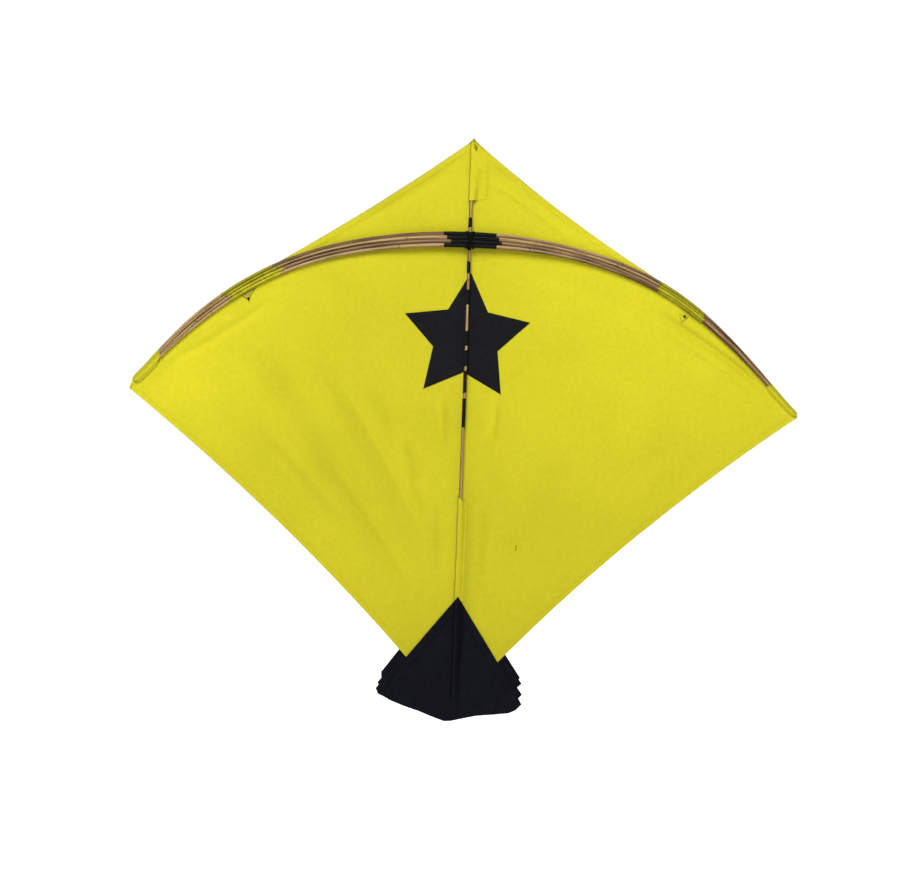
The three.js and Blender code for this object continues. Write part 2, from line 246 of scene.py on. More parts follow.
# Long folds of the sail: from, to, half width and height. A height above 0 stands back.
FOLDS = [
    # The left half's folds gather towards the tail.
    ((-214, -118), (-118, -262), 14.0, 4.4),
    ((-160, -205), (-42, -372), 6.0, 4.4),
    ((-182, -180), (-56, -352), 4.0, -1.8),
    ((-146, -135), (-30, -335), 7.0, 3.4),
    ((-122, -150), (-24, -320), 3.5, -1.6),
    ((-104, -135), (-22, -300), 4.0, 1.8),
    ((-218, -190), (-100, -318), 6.0, 2.2),
    ((-240, -186), (-150, -285), 8.0, 1.6),
    ((-57, -204), (-38, -250), 4.0, 3.0),
    ((-68, -190), (-44, -268), 7.0, -2.0),
    # Above the bow they run beside the right leading edge.
    ((16, 74), (160, -14), 5.0, 3.4),
    ((12, 62), (112, -4), 3.5, -1.8),
    ((22, 82), (138, 12), 4.0, 1.8),
    ((-14, 74), (-120, 8), 7.0, 1.6),
    # On the right wing they run beside the bow.
    ((184, -62), (330, -160), 3.6, 3.4),
    ((176, -70), (322, -166), 4.5, -2.0),
    ((-192, -66), (-300, -140), 4.0, 1.4),
    # Beside and below the star.
    ((-24, -157), (-20, -210), 3.5, -2.4),
    ((32, -155), (28, -206), 3.5, -2.4),
    ((-22, -262), (-16, -378), 5.0, 2.0),
    ((30, -262), (22, -372), 6.0, 1.8),
    # The right half is nearly smooth.
    ((126, -180), (34, -352), 13.0, 0.7),
    ((250, -180), (140, -276), 13.0, -0.8),
    ((74, -28), (160, -66), 8.0, 1.2),
]


def folds(x, z):
    total = np.zeros(np.shape(x))
    for (x0, z0), (x1, z1), width, height in FOLDS:
        length = math.hypot(x1 - x0, z1 - z0)
        ux, uz = (x1 - x0) / length, (z1 - z0) / length
        along = ((x - x0) * ux + (z - z0) * uz) / length
        bowed = 0.018 * length * np.sin(np.pi * np.clip(along, 0, 1))
        off = (x - x0) * -uz + (z - z0) * ux - bowed
        taper = smooth(-0.05, 0.3, along) * (1 - smooth(0.6, 1.08, along))
        total += height * taper * bell(off, width)
    return total


def bow_distance(x, z):
    """How far a point is from the bow's middle line, in the sail's plane, roughly."""
    line_z = np.interp(np.abs(x), BOW_LINE[:, 0], BOW_LINE[:, 1])
    slope = np.interp(np.abs(x), BOW_LINE[:, 0], BOW_SLOPE[:, 0])
    return np.abs(z - line_z) * slope


def sail_y(x, z):
    """The sail's middle surface. It is held flat by the spine, the bow and the tail."""
    free = smooth(3, 20, np.abs(x)) * smooth(4, 15, bow_distance(x, z))
    held = free * smooth(4, 60, z + 341 + 1.33 * np.abs(x))
    slack = 0.7 * ripple(x, z, 60, 3, 2.4, -0.95) * smooth(0, 40, -x)
    slack = slack + 0.25 * ripple(x, z, 60, 4, 2.4, 0.9) * smooth(0, 40, x)
    crumple = 0.07 * ripple(x, z, 15, 5) + 0.03 * ripple(x, z, 7, 6)
    belly = 3.2 * smooth(10, 130, np.abs(x)) * smooth(-30, -170, z) * (1 - smooth(210, 330, np.abs(x)))
    lip = 0.4 * ripple(x, z, 60, 8) * smooth(60, 200, np.abs(x)) * smooth(-60, -200, z)
    return held * (folds(x, z) + slack + belly + lip) + 0.6 * free * crumple


def sail_painted_shade(x, z):
    """Painted light and shade on the sail's cloth: paler on the wings and deeper towards the bottom, where
    the light falls off, painted shade along the folds, a painted shadow beside the lower spine, and painted
    shade by the tail.
    """
    left = smooth(90, 290, -x) * smooth(-270, -150, z)
    right = smooth(-20, 140, x) * smooth(-330, -90, z)
    tone = PAINTED_SHADE_DEPTH * (1 - np.where(x < 0, left, right))
    # Painted shade where a fold stands back and painted light where it comes forward, a painted shadow
    # right of the lower spine, and painted shade by the tail.
    crease_shade = 0.016 * folds(x, z) * smooth(3, 20, np.abs(x)) * smooth(4, 15, bow_distance(x, z))
    spine_shadow = 0.14 * bell(x - 9, 7) * smooth(-180, -330, z)
    tail_shade = 0.12 * smooth(-340, -440, z) * (1 - smooth(50, 110, np.abs(x)))
    return np.clip(tone + crease_shade + spine_shadow + tail_shade, 0, 1)


def sleeve_shadow(x, z):
    """A painted shadow on the sail's frame side, under the right wing's sleeves."""
    along, across = 0.77 * (x - 222) - 0.64 * (z + 66), 0.64 * (x - 222) + 0.77 * (z + 66)
    return 0.45 * bell(along, 12) * bell(across, 2.5)


# ---- Meshes ----


def signed_volume(points, faces):
    total = 0.0
    by_size = {}
    for face in faces:
        by_size.setdefault(len(face), []).append(face)
    for size, group in by_size.items():
        corners = points[np.array(group)]
        for k in range(1, size - 1):
            a, b, c = corners[:, 0], corners[:, k], corners[:, k + 1]
            total += float((a * np.cross(b, c)).sum())
    return total


def make_object(name, points, faces, material, uv=None, shade=None, flat=False):
    """A mesh object of closed faces, turned to face out, with its map in metres."""
    points = np.asarray(points, float).reshape(-1, 3) * MM
    if signed_volume(points, faces) < 0:
        faces = [tuple(reversed(f)) for f in faces]
    mesh = bpy.data.meshes.new(name)
    mesh.from_pydata(points.tolist(), [], faces)
    mesh.materials.append(material)
    loops = np.zeros(len(mesh.loops), np.int32)
    mesh.loops.foreach_get("vertex_index", loops)
    layer = mesh.uv_layers.new(name="UVMap")
    flat_map = points[:, [0, 2]] if uv is None else np.asarray(uv, float).reshape(-1, 2) * MM
    layer.data.foreach_set("uv", flat_map[loops].astype(np.float32).ravel())
    attribute = mesh.attributes.new("shade", "FLOAT", "POINT")
    value = np.zeros(len(points)) if shade is None else np.asarray(shade, float).ravel()
    attribute.data.foreach_set("value", value.astype(np.float32))
    mesh.polygons.foreach_set("use_smooth", np.full(len(mesh.polygons), not flat))
    mesh.update()
    obj = bpy.data.objects.new(name, mesh)
    bpy.context.scene.collection.objects.link(obj)
    return obj


def grid_faces(rows, columns, wrap=False):
    index = np.arange(rows * columns).reshape(rows, columns)
    if wrap:
        index = np.concatenate([index, index[:, :1]], axis=1)
    a, b, c, d = index[:-1, :-1], index[1:, :-1], index[1:, 1:], index[:-1, 1:]
    return np.stack([a, b, c, d], axis=-1).reshape(-1, 4)


def rim_faces(near, far):
    """Quads that join two rows of vertices with the same order."""
    return [(near[i], near[i + 1], far[i + 1], far[i]) for i in range(len(near) - 1)]


def unit(v):
    return v / np.maximum(np.linalg.norm(v, axis=-1, keepdims=True), TINY)


def cloth_solid(name, x, y, z, material, thickness=CLOTH, shade=None, front_painted_shade=0.0):
    """A thin closed cloth from a grid of its middle surface."""
    points = stacked(x, y, z)
    normal = np.cross(np.gradient(points, axis=0), np.gradient(points, axis=1))
    size = np.linalg.norm(normal, axis=-1, keepdims=True)
    normal = np.where(size > TINY, unit(normal), [0.0, -1.0, 0.0])
    if normal[..., 1].mean() > 0:
        normal = -normal
    front, back = points + normal * thickness / 2, points - normal * thickness / 2
    faces = [tuple(f) for f in grid_faces(*x.shape).tolist()]
    faces += [tuple(i + x.size for i in reversed(f)) for f in faces]
    index = np.arange(x.size).reshape(x.shape)
    for edge in (index[0, :], index[::-1, 0], index[-1, ::-1], index[:, -1]):
        faces += rim_faces((edge + x.size).tolist(), edge.tolist())
    uv = stacked(x, z)
    # The front face also takes painted shade that the back does not.
    both = None if shade is None else np.concatenate([(shade + front_painted_shade).ravel(), shade.ravel()])
    solid = np.concatenate([front.reshape(-1, 3), back.reshape(-1, 3)])
    return make_object(name, solid, faces, material, np.concatenate([uv, uv]), both)


def tube_faces(stations, around, loop=False):
    """Faces of a tube from its rings, with two flat ends unless it is a loop."""
    faces = [tuple(f) for f in grid_faces(stations, around, wrap=True).tolist()]
    last = (stations - 1) * around
    if loop:
        return faces + [(last + i, i, (i + 1) % around, last + (i + 1) % around) for i in range(around)]
    return faces + [tuple(range(around)), tuple(range(last + around - 1, last - 1, -1))]


def tube_solid(name, rings, material, uv=None, shade=None, loop=False):
    stations, around = np.shape(rings)[:2]
    return make_object(name, rings, tube_faces(stations, around, loop), material, uv, shade)


def shell_solid(name, outer, inner, material, uv=None, shade=None):
    """An open-ended tube with a wall, from its outer and inner rings."""
    rings = np.concatenate([outer, inner[::-1]])
    twice = None if uv is None else np.concatenate([uv, uv[::-1]])
    shades = None if shade is None else np.concatenate([shade, shade[::-1]])
    return tube_solid(name, rings, material, twice, shades, loop=True)


def swept(points, radius, sides=8, loop=False):
    """Rings of a round thread along a line of points."""
    points = np.asarray(points, float)
    if loop:
        ahead, behind = np.roll(points, -1, axis=0), np.roll(points, 1, axis=0)
        tangent = unit(ahead - behind)
    else:
        tangent = unit(np.gradient(points, axis=0))
    normal = np.cross(tangent[0], [0.0, 1.0, 0.2])
    rings = []
    for point, t in zip(points, tangent):
        normal = normal - t * (normal @ t)
        normal = normal / np.linalg.norm(normal)
        other = np.cross(t, normal)
        angle = round_angles(sides)[:, None]
        rings.append(point + radius * (np.cos(angle) * normal + np.sin(angle) * other))
    return np.array(rings)


def joined(name, parts):
    """Several objects as one, which keeps the first one's data."""
    with bpy.context.temp_override(
        active_object=parts[0], object=parts[0],
        selected_objects=parts, selected_editable_objects=parts,
    ):
        bpy.ops.object.join()
    parts[0].name = name
    parts[0].data.name = name
    return parts[0]


def thread_loop(places, count):
    """A smooth closed line through places, as count points."""
    places = np.asarray(places, float)
    spots = np.arange(count) / count * len(places)
    points = []
    for spot in spots:
        i, t = int(spot), spot % 1
        a, b, c, d = (places[(i + k) % len(places)] for k in (-1, 0, 1, 2))
        points.append(b + 0.5 * t * (c - a + t * (2 * a - 5 * b + 4 * c - d + t * (3 * (b - c) + d - a))))
    return np.array(points)


# ---- Materials ----


class Nodes:
    """A node tree built step by step."""

    def __init__(self, owner):
        owner.use_nodes = True
        self.nodes, self.links = owner.node_tree.nodes, owner.node_tree.links

    def node(self, kind, inputs=(), **values):
        """A new node, with its inputs given by name or number and its settings by name."""
        made = self.nodes.new(kind)
        for key, value in values.items():
            setattr(made, key, value)
        self.set(made, inputs)
        return made

    def set(self, node, inputs):
        for key, value in dict(inputs).items():
            self.feed(node.inputs[key], value)

    def feed(self, target, value):
        if isinstance(value, bpy.types.NodeSocket):
            self.links.new(value, target)
        else:
            target.default_value = value

    def math(self, operation, a, b=0.0, c=0.0):
        made = self.node("ShaderNodeMath", {0: a, 1: b, 2: c}, operation=operation)
        return made.outputs["Value"]

    def between(self, value, low, high, start=0.0, end=1.0):
        limits = {"Value": value, "From Min": low, "From Max": high, "To Min": start, "To Max": end}
        made = self.node("ShaderNodeMapRange", limits, interpolation_type="SMOOTHSTEP")
        return made.outputs["Result"]


class Shader(Nodes):
    """A material. Its textures read the piece's own map, in millimetres."""

    def __init__(self, name, roughness, **values):
        self.material = bpy.data.materials.new(name)
        super().__init__(self.material)
        self.surface = self.nodes["Principled BSDF"]
        values = {key.replace("_", " "): value for key, value in values.items()}
        self.set(self.surface, {"Roughness": roughness, **values})

    def map_mm(self, stretch=(1.0, 1.0)):
        uv = self.node("ShaderNodeUVMap", uv_map="UVMap").outputs["UV"]
        inputs = {0: uv, 1: (stretch[0] / MM, stretch[1] / MM, 1)}
        return self.node("ShaderNodeVectorMath", inputs, operation="MULTIPLY").outputs["Vector"]

    def noise(self, scale, detail=3.0, rough=0.5, stretch=(1.0, 1.0)):
        made = self.node("ShaderNodeTexNoise", noise_dimensions="2D")
        place = self.map_mm(stretch)
        self.set(made, {"Vector": place, "Scale": scale, "Detail": detail, "Roughness": rough})
        return made.outputs["Fac"]

    def bands(self, direction, pitch, warp=0.0):
        """Sine bands across the map, one every pitch millimetres."""
        made = self.node("ShaderNodeTexWave", wave_type="BANDS", bands_direction=direction)
        scale = 2 * math.pi / 20 / pitch
        self.set(made, {"Vector": self.map_mm(), "Scale": scale, "Distortion": warp})
        return made.outputs["Fac"]

    def ramp(self, value, *stops):
        made = self.node("ShaderNodeValToRGB", {"Fac": value})
        elements = made.color_ramp.elements
        while len(elements) < len(stops):
            elements.new(0.5)
        for element, (place, colour) in zip(elements, stops):
            element.position = place
            element.color = (*colour, 1)
        return made.outputs["Color"]

    def mix(self, share, a, b):
        made = self.node("ShaderNodeMix", {"Factor": share}, data_type="RGBA")
        for key, value in (("A", a), ("B", b)):
            self.feed(made.inputs[key], (*value, 1) if isinstance(value, tuple) else value)
        return made.outputs["Result"]

    def attribute(self, name):
        return self.node("ShaderNodeAttribute", attribute_name=name).outputs["Fac"]

    def bump(self, height, distance_mm, strength=1.0, under=None):
        inputs = {"Strength": strength, "Distance": distance_mm * MM, "Height": height}
        made = self.node("ShaderNodeBump", inputs if under is None else {**inputs, "Normal": under})
        return made.outputs["Normal"]

    def done(self, colour, normal=None, roughness=None):
        chosen = {"Base Color": colour, "Normal": normal, "Roughness": roughness}
        self.set(self.surface, {key: value for key, value in chosen.items() if value is not None})
        return self.material


# The colour that the shade attribute mixes into the yellow cloths, mostly as painted shade.
OLIVE = (0.052, 0.046, 0.003)


def cloth_material(
    name, deep, main, pale, roughness, sheen=0.04, soil_and_shade=OLIVE, thread=0.42, relief=1.0, gloss=0.16,
):
    """Plain-weave cloth: patches, mottle, the weave's two thread sets and slubs."""
    s = Shader(name, roughness, Sheen_Weight=sheen, Sheen_Roughness=0.45, Specular_IOR_Level=gloss)
    patch = s.noise(0.013, 3, 0.55)
    mottle = s.noise(0.22, 6, 0.68)
    tone = s.math("MULTIPLY_ADD", patch, 0.3, s.math("MULTIPLY_ADD", mottle, 0.55, 0.075))
    colour = s.ramp(tone, (0.34, deep), (0.5, main), (0.66, pale))
    weave = s.math("MULTIPLY", s.bands("X", thread), s.bands("Y", thread))
    slubs = s.noise(1.0, 2, 0.5, (0.12, 2.4))
    colour = s.mix(s.between(slubs, 0.6, 0.78, 0.0, 0.16), colour, deep)
    colour = s.mix(s.math("MULTIPLY", weave, 0.12), colour, deep)
    # The shade attribute darkens the cloth towards this colour, mostly as painted shade.
    colour = s.mix(s.attribute("shade"), colour, soil_and_shade)
    normal = s.bump(s.noise(0.12, 5, 0.6), 0.9, 0.35 * relief)
    normal = s.bump(mottle, 0.30, 0.30 * relief, normal)
    normal = s.bump(weave, 0.04, 0.5 * relief, normal)
    return s.done(colour, normal)


def bamboo_material(name, pale, main, deep, char_and_shade):
    """Split cane: long grain, darker fibre streaks, and dark skin and painted shade where shade says so."""
    s = Shader(name, 0.5, Specular_IOR_Level=0.16)
    grain = s.noise(1.0, 5, 0.6, (0.035, 3.2))
    streak = s.noise(1.0, 3, 0.5, (0.012, 1.1))
    fibre = s.noise(1.0, 2, 0.5, (0.10, 11.0))
    colour = s.ramp(grain, (0.36, deep), (0.5, main), (0.64, pale))
    colour = s.mix(s.between(streak, 0.52, 0.72, 0.0, 0.5), colour, deep)
    colour = s.mix(s.between(fibre, 0.55, 0.7, 0.0, 0.25), colour, char_and_shade)
    colour = s.mix(s.attribute("shade"), colour, char_and_shade)
    normal = s.bump(grain, 0.12, 0.5)
    normal = s.bump(fibre, 0.05, 0.5, normal)
    return s.done(colour, normal, s.between(grain, 0.3, 0.7, 0.38, 0.58))


def tape_material(name, main, worn):
    """Binding tape: smooth and dark, a little dusty, with worn edges where shade says so."""
    s = Shader(name, 0.5, Specular_IOR_Level=0.07)
    dust = s.noise(0.5, 4, 0.6)
    colour = s.ramp(dust, (0.4, main), (0.66, worn))
    colour = s.mix(s.attribute("shade"), colour, worn)
    scuff = s.noise(1.0, 3, 0.6, (0.3, 2.0))
    return s.done(colour, s.bump(scuff, 0.06, 0.4), s.between(dust, 0.35, 0.7, 0.42, 0.66))


def thread_material(name, main, pale):
    """Twisted thread: fine slanted plies along its length."""
    s = Shader(name, 0.8, Sheen_Weight=0.0, Specular_IOR_Level=0.06)
    ply = s.bands("DIAGONAL", 0.5, 0.4)
    return s.done(s.mix(ply, main, pale), s.bump(ply, 0.08, 0.6))


YELLOW = cloth_material(
    "yellow_cloth", (0.505, 0.456, 0.0105), (0.545, 0.495, 0.0115), (0.58, 0.53, 0.0135), 0.8,
)
SLEEVE_YELLOW = cloth_material(
    "sleeve_cloth", (0.30, 0.27, 0.006), (0.41, 0.375, 0.010), (0.50, 0.46, 0.014), 0.75, relief=0.6,
)
POCKET_YELLOW = cloth_material(
    "pocket_cloth", (0.46, 0.415, 0.0100), (0.50, 0.452, 0.0108), (0.54, 0.49, 0.0120), 0.8, relief=0.25,
)
TAB_OLIVE = cloth_material(
    "tab_cloth", (0.30, 0.27, 0.02), (0.35, 0.31, 0.03), (0.41, 0.37, 0.04), 0.8, soil_and_shade=(0, 0, 0),
)
BLACK = cloth_material(
    "black_cloth", (0.0035, 0.0036, 0.0045), (0.0055, 0.0056, 0.007), (0.008, 0.008, 0.010), 0.72,
    sheen=0.02, soil_and_shade=(0.001, 0.001, 0.0015), thread=0.38, gloss=0.08,
)
TAIL_BLACK = cloth_material(
    "tail_cloth", (0.0010, 0.0011, 0.0032), (0.0018, 0.0019, 0.0052), (0.0032, 0.0034, 0.0080), 0.62,
    sheen=0.0, soil_and_shade=(0.0005, 0.0005, 0.001), thread=0.38, gloss=0.08,
)
CANE = bamboo_material(
    "spine_cane", (0.50, 0.345, 0.165), (0.37, 0.235, 0.100), (0.17, 0.09, 0.032), (0.022, 0.010, 0.004),
)
STRAND_CANE = bamboo_material(
    "strand_cane", (0.56, 0.395, 0.20), (0.43, 0.28, 0.13), (0.18, 0.078, 0.030), (0.034, 0.0095, 0.006),
)
TAPE = tape_material("black_tape", (0.0018, 0.0018, 0.0020), (0.008, 0.0075, 0.0075))
BROWN_TAPE = tape_material("brown_tape", (0.007, 0.0045, 0.0035), (0.020, 0.014, 0.011))
THREAD = thread_material("black_thread", (0.0015, 0.0015, 0.0015), (0.006, 0.0055, 0.0055))
SLEEVE_THREAD = thread_material("sleeve_thread", (0.10, 0.09, 0.003), (0.16, 0.14, 0.005))
YELLOW_THREAD = thread_material("yellow_thread", (0.38, 0.345, 0.008), (0.48, 0.435, 0.010))


# ---- Placing pieces and hiding the CAD nodes they replace ----


def dress(obj, slot, *nodes):
    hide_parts(*nodes)


def fixed(obj, slot, *nodes):
    """A piece that rides with the kite's middle, in place of those nodes if there are any."""
    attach(obj, "root")
    if nodes:
        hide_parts(*nodes)


def flexing(obj):
    """Bakes the piece's placement into its mesh."""
    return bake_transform(obj)


def fluttering(obj):
    """Bakes the piece's placement into its mesh."""
    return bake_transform(obj)


# ---- Sail ----


def half_panel(top, bottom, reach, columns, rows, crowding, least):
    """A grid between two edges from the spine outwards, closer where the outline turns.

    The edges run outwards, and the panel is never lower than least.
    """
    x = reach * (1 - (1 - np.linspace(0, 1, columns)) ** crowding)
    high, low = np.interp(x, *top.T), np.interp(x, *bottom.T)
    high = np.maximum(high, low + least)
    z = low[:, None] + (high - low)[:, None] * np.linspace(0, 1, rows)
    area = float(np.trapz(high - low, x)) * MM * MM
    return np.repeat(x[:, None], rows, axis=1), z, area


SAIL_GRID = (150, 210)


def sail_half(side):
    top, trailing = OUTLINE[side]["top"], OUTLINE[side]["trailing"][::-1]
    tip = TIP_CORNER[side][0]
    grid_x, grid_z, area = half_panel(top, trailing, tip, *SAIL_GRID, 1.25, 0.3)
    grid_x = SIDES[side] * grid_x
    y = sail_y(grid_x, grid_z)
    # Painted shade over the whole sail, and a painted shadow under the right wing's sleeves on its front.
    tone, painted_sleeve_shadow = sail_painted_shade(grid_x, grid_z), sleeve_shadow(grid_x, grid_z)
    sail = cloth_solid(f"sail_cloth_{side}", grid_x, y, grid_z, YELLOW, CLOTH, tone, painted_sleeve_shadow)
    dress(sail, "sail_cloth", f"sail_{side}", "sail_centre")
    return sail, area, (tip * MM, (NOSE_Z - BOTTOM_Z) * MM)


def inward(line, width):
    """The line moved sideways by width, towards the spine's foot or the sail's middle."""
    tangent = unit(np.gradient(line, axis=0))
    return line + width * stacked(tangent[:, 1], -tangent[:, 0])


def resampled(line, step):
    length = run_along(line)
    spots = np.linspace(0, length[-1], max(3, int(length[-1] / step)))
    return stacked(*(np.interp(spots, length, line[:, k]) for k in (0, 1)))


def hem(name, line, width, side):
    """A doubled edge: the cloth folded over on the frame side and sewn."""
    s = SIDES[side]
    line = resampled(line, 3.0)
    shares = np.array([0.02, 0.15, 0.5, 0.85, 0.96, 1.0])
    lift = np.array([0.20, 0.34, 0.30, 0.32, 0.27, 0.20])
    rows = [inward(line, width * share) for share in shares]
    x = s * np.array([row[:, 0] for row in rows])
    z = np.array([row[:, 1] for row in rows])
    pucker = 0.05 * np.sin(2 * np.pi * np.arange(len(line)) / 3.7)[None, :] * (shares > 0.3)[:, None]
    y = sail_y(x, z) - lift[:, None] - pucker
    # The hem takes the sail's painted shade.
    piece = cloth_solid(name, x, y, z, YELLOW, 0.12, sail_painted_shade(x, z))
    return piece


STITCH_DIP = np.array([0.10, -0.06, -0.10, -0.06, 0.10])


def stitches(
    name, line, side, lift, length=2.0, gap=1.1, radius=0.16, thread=YELLOW_THREAD,
):
    """Machine stitches along a line, each one a short thread that dips into the cloth."""
    s = SIDES[side]
    line = resampled(line, 0.4)
    run = run_along(line)
    stations, sides = len(STITCH_DIP), 6
    tube = tube_faces(stations, sides)
    points, faces, uvs = [], [], []
    start = 0.5
    while start + length < run[-1]:
        spots = start + length * np.linspace(0, 1, stations)
        x = s * np.interp(spots, run, line[:, 0])
        z = np.interp(spots, run, line[:, 1])
        rings = swept(stacked(x, sail_y(x, z) - lift + STITCH_DIP, z), radius, sides)
        base = len(points) * stations * sides
        faces += [tuple(base + i for i in face) for face in tube]
        points.append(rings.reshape(-1, 3))
        uvs.append(stacked(spots[:, None], np.arange(sides) * 0.2).reshape(-1, 2))
        start += length + gap
    return make_object(name, np.concatenate(points), faces, thread, np.concatenate(uvs))


LEADING_HEM = 7.0
TRAILING_HEM = 6.0
SEAM_INSET = 1.4
SEAM_LIFT = 0.36


def add_sail():
    for side in SIDES:
        sail, area, flat = sail_half(side)
        leading = OUTLINE[side]["leading"]
        trailing = OUTLINE[side]["trailing"]
        trailing = trailing[trailing[:, 0] > 8]
        pieces = [
            hem(f"leading_hem_{side}", leading, LEADING_HEM, side),
            hem(f"trailing_hem_{side}", trailing, TRAILING_HEM, side),
        ]
        for edge, line, width in (("leading", leading, LEADING_HEM), ("trailing", trailing, TRAILING_HEM)):
            sewn = inward(line, width - SEAM_INSET)
            pieces.append(stitches(f"{edge}_stitches_{side}", sewn, side, SEAM_LIFT))
        for piece in [sail, *pieces]:
            flexing(piece)


# ---- Star and small patches ----


def polygon_radius(corners, angles):
    """How far the outline through corners is from its middle, at each angle."""
    corner_angles = np.arctan2(corners[:, 1], corners[:, 0])
    order = np.argsort(corner_angles)
    after = np.searchsorted(corner_angles[order], angles) % len(corners)
    a, b = corners[order][after - 1], corners[order][after]
    edge = b - a
    crossing = np.cos(angles) * edge[:, 1] - np.sin(angles) * edge[:, 0]
    return (a[:, 0] * edge[:, 1] - a[:, 1] * edge[:, 0]) / crossing


def radial_patch(name, corners, centre, lift, material, rings=16, spokes=24, rumple=0.0):
    """A thin closed patch, lift above the sail, whose outline is seen whole from its centre."""
    corners = np.asarray(corners, float)
    corner_angles = np.sort(np.arctan2(corners[:, 1], corners[:, 0]))
    ends = np.concatenate([corner_angles[1:], corner_angles[:1] + 2 * np.pi])
    spans = zip(corner_angles, ends)
    angles = np.concatenate([np.linspace(a, b, spokes, endpoint=False) for a, b in spans])
    wrapped = (angles + np.pi) % (2 * np.pi) - np.pi
    reach = polygon_radius(corners, wrapped + 1e-9)
    shares = np.concatenate([[0.02], np.linspace(0.08, 0.97, rings), [0.99, 1.0]])
    x = centre[0] + shares[:, None] * (reach * np.cos(angles))[None, :]
    z = centre[1] + shares[:, None] * (reach * np.sin(angles))[None, :]
    edge = np.where(shares > 0.98, 0.06, 0.0)[:, None]
    y = sail_y(x, z) - lift + edge + rumple * ripple(x, z, 22, 31)
    front, back = stacked(x, y - 0.14 + edge, z), stacked(x, y + 0.14 - edge, z)
    uv = stacked(x, z)
    return tube_solid(name, np.concatenate([front, back[::-1]]), material, np.concatenate([uv, uv[::-1]]))


STAR_CENTRE = (0.0, -100.0)
STAR_POINT = 66.0
STAR_NOTCH = 34.0
STAR_TURN = math.radians(2)


def add_star():
    corners = []
    for i in range(10):
        angle = math.pi / 2 - STAR_TURN - i * math.pi / 5
        radius = STAR_NOTCH if i % 2 else STAR_POINT
        corners.append((radius * math.cos(angle), radius * math.sin(angle)))
    star = radial_patch("star", corners, STAR_CENTRE, 0.5, BLACK, rumple=0.12)
    fixed(star, "black_cloth", "star_patch")


def add_nose():
    low, high = box_mm("nose_patch")
    corners = np.array([[0, 13.5], [low[0], -5.5], [high[0], -5.5]])
    patch = radial_patch("nose_fold", corners, (0, NOSE_Z - 14.5), -0.45, SLEEVE_YELLOW, 8, 12)
    fixed(patch, "sleeve_cloth", "nose_patch")
    knot_line = [
        (0.4, -5.7, 93.6), (2.6, -5.4, 91.8), (3.4, -3.6, 89.6),
        (2.2, -5.5, 89.0), (0.8, -5.9, 90.6), (1.9, -6.0, 92.6),
    ]
    rings = swept(thread_loop(knot_line, 60), 0.34, 8, True)
    knot = tube_solid("nose_knot", rings, SLEEVE_THREAD, loop=True)
    fixed(knot, "black_thread")


TABS = {
    "left": ((-227, -66.8), (-219, -70.2), (-211.5, -57.5)),
    "right": ((211.5, -66.8), (214.5, -75.5), (221.5, -70.2)),
}
TAB_KNOTS = {"left": (-218.9, -69.2), "right": (217.4, -69.4)}
KNOT_TURNS = np.array([(-0.8, -1.0, -0.3), (0.1, -1.5, 0.8), (0.9, -1.0, 0.1), (0, -1.3, -0.8)])
TAB_CLOTHS = {"left": (TAB_OLIVE, SLEEVE_THREAD), "right": (YELLOW, THREAD)}


def add_tabs():
    for side, s in SIDES.items():
        outline = np.array(TABS[side], float)
        centre = outline.mean(axis=0)
        cloth, thread = TAB_CLOTHS[side]
        tab = radial_patch(f"tab_{side}", outline - centre, centre, 0.45, cloth, 6, 10)
        dress(tab, "sleeve_cloth", f"pocket_tab_{side}")
        edge = centre + 0.86 * (np.concatenate([outline, outline[:1]]) - centre)
        name = f"tab_stitches_{side}"
        sewn = stitches(name, edge * [s, 1], side, 0.66, 1.5, 0.6, 0.15, thread)
        x, z = TAB_KNOTS[side]
        rings = swept(thread_loop(KNOT_TURNS + [x, 0, z], 24), 0.5, 6, True)
        knot = tube_solid(f"tab_knot_{side}", rings, THREAD, loop=True)
        for piece in (tab, sewn, knot):
            flexing(piece)


# ---- Spine ----

SPINE_MIDDLE = (SPINE_LOW[1] + SPINE_HIGH[1]) / 2
SPINE_DEPTH_HALF = (SPINE_HIGH[1] - SPINE_LOW[1]) / 2
CANE_JOINTS = (71.0, -44.0, -172.0, -298.0, -414.0)


def rounded_box(half_x, half_y, around, power=0.45):
    """Points round a box with soft corners, as (x, y)."""
    angle = round_angles(around)
    return stacked(half_x * signed_power(np.cos(angle), power), half_y * signed_power(np.sin(angle), power))


def joint_swell(place, joints, width):
    return sum(bell(place - j, width) for j in joints)


def spine_shaving(z):
    """The spine is shaved thinner under its covers: 0 where bare, 1 at the nose and at the foot."""
    return np.maximum(smooth(38, 92, z), smooth(-262, -330, z))


def spine_front(z):
    return SPINE_LOW[1] + 1.0 * spine_shaving(z)


def spine_narrow(z):
    return 1 - 0.10 * spine_shaving(z)


